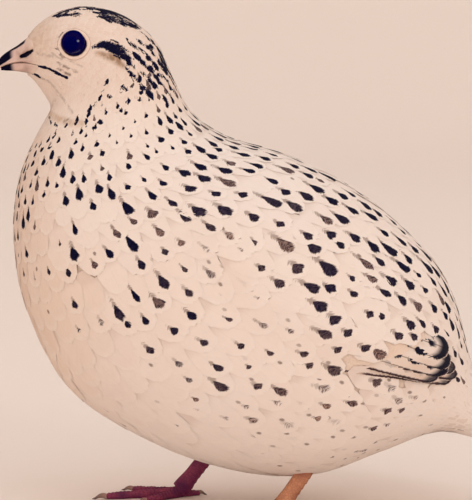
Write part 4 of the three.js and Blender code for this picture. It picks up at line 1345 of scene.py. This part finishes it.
TAIL_ROOT = np.array([55.5, 0, 35.5])
TAIL_TIP = np.array([78.5, 0, 19.5])
TAIL_PAIRS = 5
TAIL_FAN = [3, 24]  # degrees from the middle of the tail, innermost and outermost
TAIL_LEAN = [3, 30]  # how far each leans outwards, in degrees
TAIL_DROOP = 0.95  # how far each pair lies below the one before
TAIL_OFFSET = 0.35  # and the left one of a pair below the right one
TAIL_ROOTS = [0.6, 3.2]  # how far from the middle they grow
TAIL_OUTER_SHARE = 0.86  # the outermost one's length as a share of the innermost one's
TAIL_HALF_WIDTH = 3.3
TAIL_LOOK = [0.9, 3.0, 0.6, 0.9, 0.5]
TAIL_THICK = 0.5
TAIL_FRAY = [0.2, 0.16]  # how unevenly the barbs end, at random and in turn


def turned(vector, axis, angle):
    """The vector turned about an axis of length 1."""
    across = np.cross(axis, vector) * math.sin(angle)
    return vector * math.cos(angle) + across + axis * np.dot(axis, vector) * (1 - math.cos(angle))


def tail_feathers(material):
    """A short fan of feathers, a pair at a time from the middle outwards."""
    rng = np.random.default_rng(SEED + 30)
    outline = u, v, _ = feather_outline(22, 11, root_width=0.5, widest=0.45, narrowing=0.2)
    shaft = TAIL_TIP - TAIL_ROOT
    up = unit(np.array([-shaft[2], 0, shaft[0]]))
    random_fray, even_fray = TAIL_FRAY
    build = Build()
    for pair in range(TAIL_PAIRS):
        share = pair / (TAIL_PAIRS - 1)
        for side in (LEFT, RIGHT):
            along = turned(shaft * lerp(1, TAIL_OUTER_SHARE, share), up, -side * math.radians(lerp(*TAIL_FAN, share)))
            top = turned(up, unit(shaft), -side * math.radians(lerp(*TAIL_LEAN, share)))
            length = np.linalg.norm(along)
            ahead = along / length
            across = unit(np.cross(top, ahead))
            root = TAIL_ROOT + [0, side * lerp(*TAIL_ROOTS, share), 0]
            root = root - up * (TAIL_DROOP * pair + (TAIL_OFFSET if side == LEFT else 0))
            fray = rng.uniform(-1, 1, len(u)) * random_fray + even_fray * zigzag(len(u))
            p, q = long_vane(outline, length, TAIL_HALF_WIDTH, 1.0, fray)
            ripple = RIPPLE * np.sin(p * 2 + rng.uniform(0, 6))
            height = 0.45 * (1 - u**2) - 0.4 * (v**2)[:, None] + ripple
            leaf = root + p[..., None] * ahead + q[..., None] * across + height[..., None] * top
            spine = keel(leaf.transpose(2, 0, 1)).T - TAIL_THICK * top
            add_long(build, leaf, spine, outline, length, TAIL_HALF_WIDTH, TAIL_LOOK, rng)
    build.make("tail_fan", material, "tail")


# ---------------------------------------------------------------- bill and eyes

# Stations of each half of the bill: x, top, bottom, half width, as in the CAD, with the halves closed.
UPPER_BILL = [
    [-56.8, 139.0, 129.3, 4.4],
    [-59.7, 138.2, 129.8, 4.0],
    [-62.4, 136.9, 130.1, 3.3],
    [-65.0, 135.0, 130.0, 2.6],
    [-67.3, 133.6, 129.6, 2.0],
    [-69.3, 132.2, 128.9, 1.25],
    [-70.5, 130.8, 128.3, 0.65],
    [-70.9, 129.5, 127.9, 0.25],
]
LOWER_BILL = [
    [-57.4, 129.3, 126.3, 3.3],
    [-60.3, 129.8, 126.7, 3.0],
    [-63.2, 130.1, 127.2, 2.6],
    [-66.1, 129.9, 127.6, 1.9],
    [-68.4, 129.3, 127.7, 1.15],
    [-69.9, 128.7, 127.8, 0.5],
]
MEETING_ARCH = 0.12  # share of each half's height on the side where the halves meet
FLAT_TOP = 0.95  # powers that make the halves' cross-sections a little fuller than an oval
FLAT_FLANK = 0.85
THINNEST_BILL = 0.12
BILL_FLARE = [-65.5, -60.4]  # between these x each half widens to the face
BROW_FLARE = [-63.3, -60.6]  # and rises to the brow
FLARE_LIFT = 0.12  # how far the flare lies over the face, and how far it dives under the feathers
FLARE_SINK = -0.6
SEAM_WIDTH = 2.6  # over which the horn turns into the colour of the face
NOSTRIL = [[-64.0, 131.9], [-62.6, 132.4], [-61.2, 133.1], [-60.0, 134.0]]
OPERCULUM = [[-64.3, 133.6], [-62.6, 134.6], [-61.2, 135.3]]
UPPER_TIP = [-68.0, -65.0]  # between these x horn turns from dark to pale
LOWER_TIP = [-67.8, -65.1]
PALE_EDGE = [128.7, 0.62]  # height at the tip, and slope, of the pale cutting edge's upper limit
RIDGE_FADE = [-63.6, -61.8]  # between these x the dark line along the top of the bill ends
NOSTRIL_HALF = [[-64.3, -63.3, -62.0, -60.2], [0.1, 0.35, 0.4, 0.0]]  # the slit's half width at these x
NOSTRIL_DEPTH = 0.9
NOSTRIL_EDGE = [0.12, 0.42]  # between these distances from the slit the horn rises to its own level
OPERCULUM_SWELL = 0.5  # how far the flap over the nostril stands out, and how far from its line
OPERCULUM_EDGE = [0.5, 1.5]
LIP = 0.12  # how far the cutting edges stand out, and how high they are
LIP_HEIGHT = 0.35
BILL_RINGS, BILL_AROUND = 150, 112


def over_face(rings, side, rise, widest, outer):
    """Flares the root of a half of the bill out to lie just over the front of the face."""
    x, z = rings[..., 0], rings[..., 2]
    lift = lerp(FLARE_LIFT, FLARE_SINK, smooth(0, 0.5, x - bare_edge(z)))
    reach = smooth(*BILL_FLARE, x)
    if outer > 0:
        brow = through(SECTIONS, np.linspace(0, 3, 31))
        roof = np.interp(x, brow[:, 0], brow[:, 1])
        roof = roof + lerp(FLARE_LIFT, FLARE_SINK, smooth(0, 0.5, x - bare_edge(roof)))
        raised = widest[:, None] + np.maximum(0, rise) ** FLAT_TOP * (roof - widest[:, None])
        z = np.where(rise > 0, lerp(z, raised, smooth(*BROW_FLARE, x)), z)
    else:
        reach = reach * smooth(0.15, 0.5, np.abs(side))
    s, theta = place_of(x, z, RIGHT, 0, TRUNK_FROM)
    face = (bare(s, theta)[..., 1] + lift) * np.sign(side) * smooth(0, 0.3, np.abs(side))
    return np.stack([x, lerp(rings[..., 1], face, reach), z], -1)


def mandible(stations, outer, name, node, material):
    """One half of the bill, outer being 1 for the upper one and -1 for the lower one."""
    x, top, bottom, half = through(stations, np.linspace(0, len(stations) - 1, BILL_RINGS)).T
    angle = circle(BILL_AROUND) + math.pi / BILL_AROUND
    rise, side = np.sin(angle), np.cos(angle)
    widest = lerp(bottom, top, MEETING_ARCH) if outer > 0 else lerp(top, bottom, MEETING_ARCH)
    tall = np.where(rise > 0, (top - widest)[:, None], (widest - bottom)[:, None])
    y = np.maximum(half, THINNEST_BILL)[:, None] * np.sign(side) * np.abs(side) ** FLAT_FLANK
    z = widest[:, None] + np.sign(rise) * np.abs(rise) ** FLAT_TOP * tall
    rings = over_face(triple(x[:, None], y, z), side, rise, widest, outer)
    flat = rings[..., [0, 2]]
    flank = smooth(0.25, 0.6, np.abs(side)) * np.sign(side)
    slit = np.zeros(y.shape)
    if outer > 0:
        swelling = OPERCULUM_SWELL * (1 - smooth(*OPERCULUM_EDGE, beside(flat, OPERCULUM)))
        # the nostril's slit, sunk into the horn and painted black in horn_material as the shade inside it
        slit = 1 - smooth(*NOSTRIL_EDGE, beside(flat, NOSTRIL) - np.interp(flat[..., 0], *NOSTRIL_HALF))
        rings[..., 1] += flank * (swelling - NOSTRIL_DEPTH * slit)
    edge = 1 - smooth(0, LIP_HEIGHT, np.abs(rings[..., 2] - widest[:, None]))
    rings[..., 1] += flank * LIP * edge
    x, _, z = np.moveaxis(rings, -1, 0)
    dark = 1 - smooth(*(UPPER_TIP if outer > 0 else LOWER_TIP), x)
    if outer > 0:
        height, slope = PALE_EDGE
        ridge = smooth(0.74, 0.92, rise) * (1 - smooth(*RIDGE_FADE, x))
        dark = np.maximum(dark * smooth(-0.3, 0.3, z - height - slope * (x - BILL_TIP_X)), ridge)
    seam = smooth(-SEAM_WIDTH, -0.2, x - bare_edge(z))
    build = Build()
    loft(build, rings, form=triple(dark, slit, edge), seam=triple(seam))
    build.make(name, material, node)


EYE_RINGS, EYE_AROUND = 48, 64
LOOKS_OUT = [-0.2, 1.0, 0.08]  # the direction in which the right eye looks
CORNEA = 0.035  # how far it stands out, as a share of the eye's radius
IRIS_EDGE = 0.96  # radians from the eye's middle
LID_RADIUS = 3.98
LID_HALF = 0.58
LID_THICK = 0.3
LID_LIFT = 0.12
LID_CORNER = 0.05  # how far the lids draw out at their two corners
LID_AROUND, LID_SIDES = 240, 14


def eyeball(side, material):
    """The eyeball, turned outwards."""
    out = unit(np.array(LOOKS_OUT) * [1, side, 1])
    level = unit(np.cross(out, [0, 0, 1]))
    lat = np.linspace(0.02, math.pi - 0.02, EYE_RINGS)[:, None]
    lon = circle(EYE_AROUND)[::-1]
    ball = triple(np.cos(lat), np.sin(lat) * np.cos(lon), np.sin(lat) * np.sin(lon))
    radius = EYE_RADIUS * (1 + CORNEA * smooth(0.95, 0.2, lat))[..., None]
    rings = np.array([EYE_X, side * EYE_Y, EYE_Z]) + radius * ball @ np.stack([out, level, np.cross(level, out)])
    build = Build()
    loft(build, rings, form=triple(lat / IRIS_EDGE, lon / math.pi))
    name = f"eye_{SIDE_NAMES[side]}"
    build.make(f"{name}_ball", material, name)


def lids(side, material):
    """The bare ring of an eye's lids."""
    turn, minor = circle(LID_AROUND)[:, None], circle(LID_SIDES)
    if side == RIGHT:
        minor = minor[::-1]
    wrinkle = 1 + 0.05 * np.sin(turn * 53) * (0.5 + 0.5 * np.cos(minor)) + 0.03 * np.sin(turn * 17 + 1)
    across = LID_RADIUS + LID_HALF * np.cos(minor) * wrinkle
    x = EYE_X + across * np.cos(turn) * (1 + LID_CORNER * np.abs(np.cos(turn)) ** 8)
    z = EYE_Z + across * np.sin(turn) * 0.97
    head = np.stack([head_half_width(*column) for column in zip(x.T, z.T)], -1)
    y = side * (head + LID_THICK * np.sin(minor) * wrinkle + LID_LIFT)
    edge = smooth(-0.55, -0.9, np.cos(minor)) + 0.5 * smooth(0.75, 0.95, np.cos(minor))
    build = Build()
    torus(build, triple(x, y, z), form=triple(edge + 0 * turn))
    build.make(f"eye_{SIDE_NAMES[side]}_lids", material, "body")


def head_half_width(x, z):
    """How far from the middle the head's surface is where it is seen at x, z from the side."""
    s, theta = np.meshgrid(np.linspace(0.5, 5, 91), np.linspace(0.15, 3.0, 96), indexing="ij")
    grid = bare(s, theta).reshape(-1, 3)
    gaps = (grid[:, 0] - x[:, None]) ** 2 + (grid[:, 2] - z[:, None]) ** 2
    nearest = np.argsort(gaps, axis=1)[:, :4]
    weight = 1 / (np.take_along_axis(gaps, nearest, 1) + 1e-3)
    return (grid[nearest, 1] * weight).sum(1) / weight.sum(1)


# ---------------------------------------------------------------- legs

SHANK_HALF = [2.2, 1.8]  # along and across the bird
FOOT_HEIGHT = 2.3
HEEL_RADIUS = 2.1
SOLE_SUNK = 0.3
GROUND_GAP = 0.02
HIP_HEIGHT = 22.0
# each leg's x at the hip, its foot's place on the ground, its side, and how many degrees outwards it heads
LEGS = {
    "leg_left": (23.4, [10.2, -14.0, 0], LEFT, 6),
    "leg_right": (-3.4, [-18.8, 13.6, 0], RIGHT, 8),
}
# turn from the middle toe in degrees, length, radius at the root and at the tip, number of pads, claw length
TOES = [
    [-36, 14.5, 1.45, 0.95, 2, 4.6],
    [-2, 23.0, 1.6, 1.0, 3, 4.6],
    [34, 16.5, 1.45, 0.9, 4, 4.6],
    [170, 6.0, 1.2, 0.8, 1, 3.2],
]
TOE_SCALE = 1.15  # spacing of the scales along the top of a toe
TOE_SCALE_RISE = 0.2
TOE_RING_GAP = 0.22
PAD_RISE = 0.22  # how far the pads swell, and the grain of the sole
GRAIN_RISE = 0.05
SHANK_SCALE = 1.9  # spacing of the broad scales down the front of the shank
SMALL_SCALE = 0.8  # and of the small ones round its back
PLATE_RISE = [0.3, 0.28]  # how far a broad scale rises to its end, and how far it drops there
SMALL_RISE = 0.07
SHANK_RELIEF = 0.8  # share of these that shows
SHANK_SWELL = [0.22, 0.12]  # how much thicker the shank is at the foot and at the hip
UP = np.array([0.0, 0.0, 1.0])
OVER = np.array([0.0, 1.0, 0.0])


def limb(build, path, across, up, half_across, half_up, form):
    """A limb along a path, with its half widths given for each ring and each direction round it."""
    angle = circle(half_up.shape[1])
    wide = (half_across * np.cos(angle))[..., None] * across
    rings = path[:, None, :] + wide + (half_up * np.sin(angle))[..., None] * up
    rings[..., 2] = np.maximum(rings[..., 2], GROUND_GAP)
    loft(build, rings, form=form)


def shank(build, hip_x, foot):
    """The bare shank, with broad plates down its front and small scales behind."""
    top, bottom = np.array([hip_x, foot[1], HIP_HEIGHT]), foot + FOOT_HEIGHT * UP
    t = np.linspace(0, 1, 90)[:, None]
    length = np.linalg.norm(bottom - top)
    angle = circle(40)
    facing = np.maximum(0, -np.sin(angle)) ** 0.7
    phase = (t * length / SHANK_SCALE + 0.12 * np.cos(angle * 2)) % 1
    rise, drop = PLATE_RISE
    plates = facing * (rise * phase - drop * smooth(0.88, 1, phase))
    small = (t * length / SMALL_SCALE + angle * 1.9) % 1
    beads = (1 - facing) * SMALL_RISE * np.sin(small * math.pi) * np.abs(np.sin(angle * 6))
    at_foot, at_hip = SHANK_SWELL
    thicker = 1 + at_foot * smooth(0.75, 1, t) + at_hip * smooth(0.3, 0, t)
    relief = (plates + beads) * SHANK_RELIEF
    along, across = (half * thicker + relief for half in SHANK_HALF)
    front = unit(np.cross(OVER, unit(bottom - top)))
    groove = facing * smooth(0.84, 0.97, phase)
    limb(build, lerp(top, bottom, t), OVER, front, across, along, triple(groove))


def toe(build, foot, angle, length, root, end, pads, claw_length):
    """One toe with its pads, scales and claw."""
    ahead = np.array([math.cos(angle), math.sin(angle), 0])
    across = np.cross(UP, ahead)
    t = np.linspace(0, 1, int(length / TOE_RING_GAP))[:, None]
    ring = circle(32)
    radius = lerp(root, end, t)
    joint = 0.5 - 0.5 * np.cos(2 * math.pi * (t * pads + 0.15))
    phase = (t * length / TOE_SCALE) % 1
    upper = np.maximum(0, np.sin(ring)) ** 0.6
    under = np.maximum(0, -np.sin(ring))
    scale = upper * TOE_SCALE_RISE * (phase - smooth(0.85, 1, phase))
    grain = under * GRAIN_RISE * np.sin(t * length * 9) * np.sin(ring * 9)
    half = radius * (0.9 + 0.14 * joint) + scale + under * PAD_RISE * joint + grain
    half = half * np.sqrt(np.maximum(0.02, 1 - smooth(0.93, 1, t) ** 2))
    path = foot + ahead * t * length + UP * (radius - SOLE_SUNK + 0.1)
    limb(build, path, across, UP, half, half, triple(upper * smooth(0.8, 0.96, phase)))
    claw(build, foot + ahead * (length - 1.0), ahead, across, end, claw_length)


def claw(build, start, ahead, across, size, length):
    """A curved claw from inside the end of a toe, size being the toe's radius there."""
    c = np.linspace(0, 1, 26)[:, None]
    ring = circle(20)
    height = size * 0.9 - SOLE_SUNK + 0.55 * np.sin(math.pi * np.minimum(1, c * 1.25)) - 0.35 * c**2
    thin = np.maximum(0.8 * (1 - c**1.7) + 0.06, 0.06) * size
    ridged = thin * (1 + 0.12 * np.maximum(0, np.sin(ring)) ** 3)
    form = triple(0.0, np.ones(ridged.shape), c)
    limb(build, start + ahead * c * length + UP * height, across, UP, ridged * 0.8, ridged, form)


def heel(build, foot):
    """The ball of the foot, from which the toes grow."""
    lat = np.linspace(math.pi - 0.03, 0.03, 30)[:, None]
    lon = circle(40)
    knob = HEEL_RADIUS * (1 + 0.04 * np.sin(lon * 9) * np.sin(lat * 11))
    x = foot[0] + 1.08 * knob * np.sin(lat) * np.cos(lon)
    y = foot[1] + 1.05 * knob * np.sin(lat) * np.sin(lon)
    z = np.maximum(HEEL_RADIUS - SOLE_SUNK + knob * np.cos(lat), GROUND_GAP)
    loft(build, triple(x, y, z), form=triple(np.zeros(x.shape)))


def leg(name, material):
    """A leg's shank, heel and toes as one piece."""
    hip_x, foot, side, heading = LEGS[name]
    build = Build()
    shank(build, hip_x, np.array(foot))
    heel(build, foot)
    for turn, *sizes in TOES:
        toe(build, np.array(foot), math.radians(180 + side * (heading - turn)), *sizes)
    build.make(f"{name}_skin", material, name)


# ---------------------------------------------------------------- the bird

HEAD_SPOTS = head_spots()
skin(skin_material("down_look"))
feather_look = plumage_material("plumage_look")
head_plumage(feather_look)
body_plumage(feather_look)
quill_look = quill_material("quill_look")
for wing_side in (LEFT, RIGHT):
    flight_feathers(wing_side, quill_look)
tail_feathers(quill_look)
horn_look = horn_material("horn_look")
mandible(UPPER_BILL, 1, "bill_upper_horn", "bill_upper", horn_look)
mandible(LOWER_BILL, -1, "bill_lower_horn", "bill_lower", horn_look)
eye_look, lid_look = eye_material("eye_look"), lid_material("lid_look")
for eye_side in (LEFT, RIGHT):
    eyeball(eye_side, eye_look)
    lids(eye_side, lid_look)
leg("leg_left", leg_material("leg_look", LEG_ORANGE, LEG_RUST))
# the far leg's skin is the near leg's with painted shade, as it stands in the body's shadow
leg("leg_right", leg_material("leg_shaded_look", SHADED_LEG_PLUM, SHADED_LEG_PURPLE))


# ---------------------------------------------------------------- floor, light and camera

FLOOR_RADII = [300, 700, 1100]  # of the rings of its flat part
SWEEP_RADIUS = 600  # of the curve from the floor up to the wall
WALL_HEIGHT = 1500
FLOOR_LOOK = srgb(240, 227, 218), srgb(244, 231, 222)
WHITE = (1.0, 0.98, 0.96)
WORLD_STRENGTH = 0.98
LIT_PLACE = (0, 0, 0.08)  # in metres, as the lights' places and sizes
# each light's place, size, power, and whether it shows as a glint in the eyes
LIGHTS = {
    "key": ((0.8, -1.0, 0.75), 0.5, 2.6, True),
    "fill": ((-0.4, -1.4, 0.12), 1.0, 5.0, False),
    "top": ((0.1, 0.6, 1.2), 1.0, 0.2, False),
}
SENSOR_WIDTH = 36


def sweep():
    """A round pale floor whose rim curves up into a wall all round."""
    profile = [(r, 0.0) for r in FLOOR_RADII]
    for a in np.linspace(0, math.pi / 2, 13)[1:]:
        profile.append((FLOOR_RADII[-1] + SWEEP_RADIUS * math.sin(a), SWEEP_RADIUS * (1 - math.cos(a))))
    profile.append((FLOOR_RADII[-1] + SWEEP_RADIUS, WALL_HEIGHT))
    around = 96
    turn = circle(around)
    rings = np.array([triple(r * np.cos(turn) - SHIFT_X, r * np.sin(turn), z) for r, z in profile])
    quads, maps = ring_faces(len(rings), around)
    faces = [quads[:, ::-1], fan(rings[..., 0].size, 0, around)]
    n = Nodes("studio_look")
    colour = n.mix(n.noise(n.place, 2.0), *FLOOR_LOOK)
    look = n.shaded(Base_Color=colour, Roughness=0.9, Specular_IOR_Level=0.1)
    build = Build()
    build.add(np.concatenate([rings.reshape(-1, 3), [[-SHIFT_X, 0, 0]]]), faces, np.concatenate([maps, [[0, 0]]]))
    build.make("studio_sweep", look).visible_glossy = False


def aimed(name, data, place, target):
    """An object of the studio at place, turned to face the target."""
    made = bpy.data.objects.new(name, data)
    made.location = place
    made.rotation_euler = (Vector(target) - Vector(place)).to_track_quat("-Z", "Y").to_euler()
    bpy.context.scene.collection.objects.link(made)
    return made


def lights():
    """Soft light from the bird's left, and an even pale one all round."""
    for name, (place, size, power, glint) in LIGHTS.items():
        light = bpy.data.lights.new(name, "AREA")
        light.shape = "DISK"
        light.size = size
        light.energy = power
        light.color = WHITE
        aimed(name, light, place, LIT_PLACE).visible_glossy = glint
    world = bpy.data.worlds.new("studio")
    bpy.context.scene.world = world
    world.use_nodes = True
    background = world.node_tree.nodes["Background"]
    background.inputs["Color"].default_value = (*WHITE, 1)
    background.inputs["Strength"].default_value = WORLD_STRENGTH
    world.cycles_visibility.glossy = False


def camera():
    """Looks at the bird's left side from a little above."""
    data = bpy.data.cameras.new("camera")
    middle_x = (FRAME_WIDE / 2 - MIDDLE_COLUMN) * MM_PER_PIXEL + SHIFT_X
    middle_z = (GROUND_ROW - FRAME_HIGH / 2) * MM_PER_PIXEL
    target = Vector((middle_x, 0, middle_z)) / 1000
    tilt = math.radians(CAMERA_ELEVATION)
    place = target + Vector((0, -math.cos(tilt), math.sin(tilt))) * CAMERA_DISTANCE / 1000
    data.sensor_width = SENSOR_WIDTH
    data.lens = SENSOR_WIDTH * CAMERA_DISTANCE / (FRAME_HIGH * MM_PER_PIXEL)
    data.clip_start = 0.05
    data.clip_end = 20
    bpy.context.scene.camera = aimed("camera", data, place, target)


sweep()
lights()
camera()
bpy.context.scene.view_settings.view_transform = "Standard"
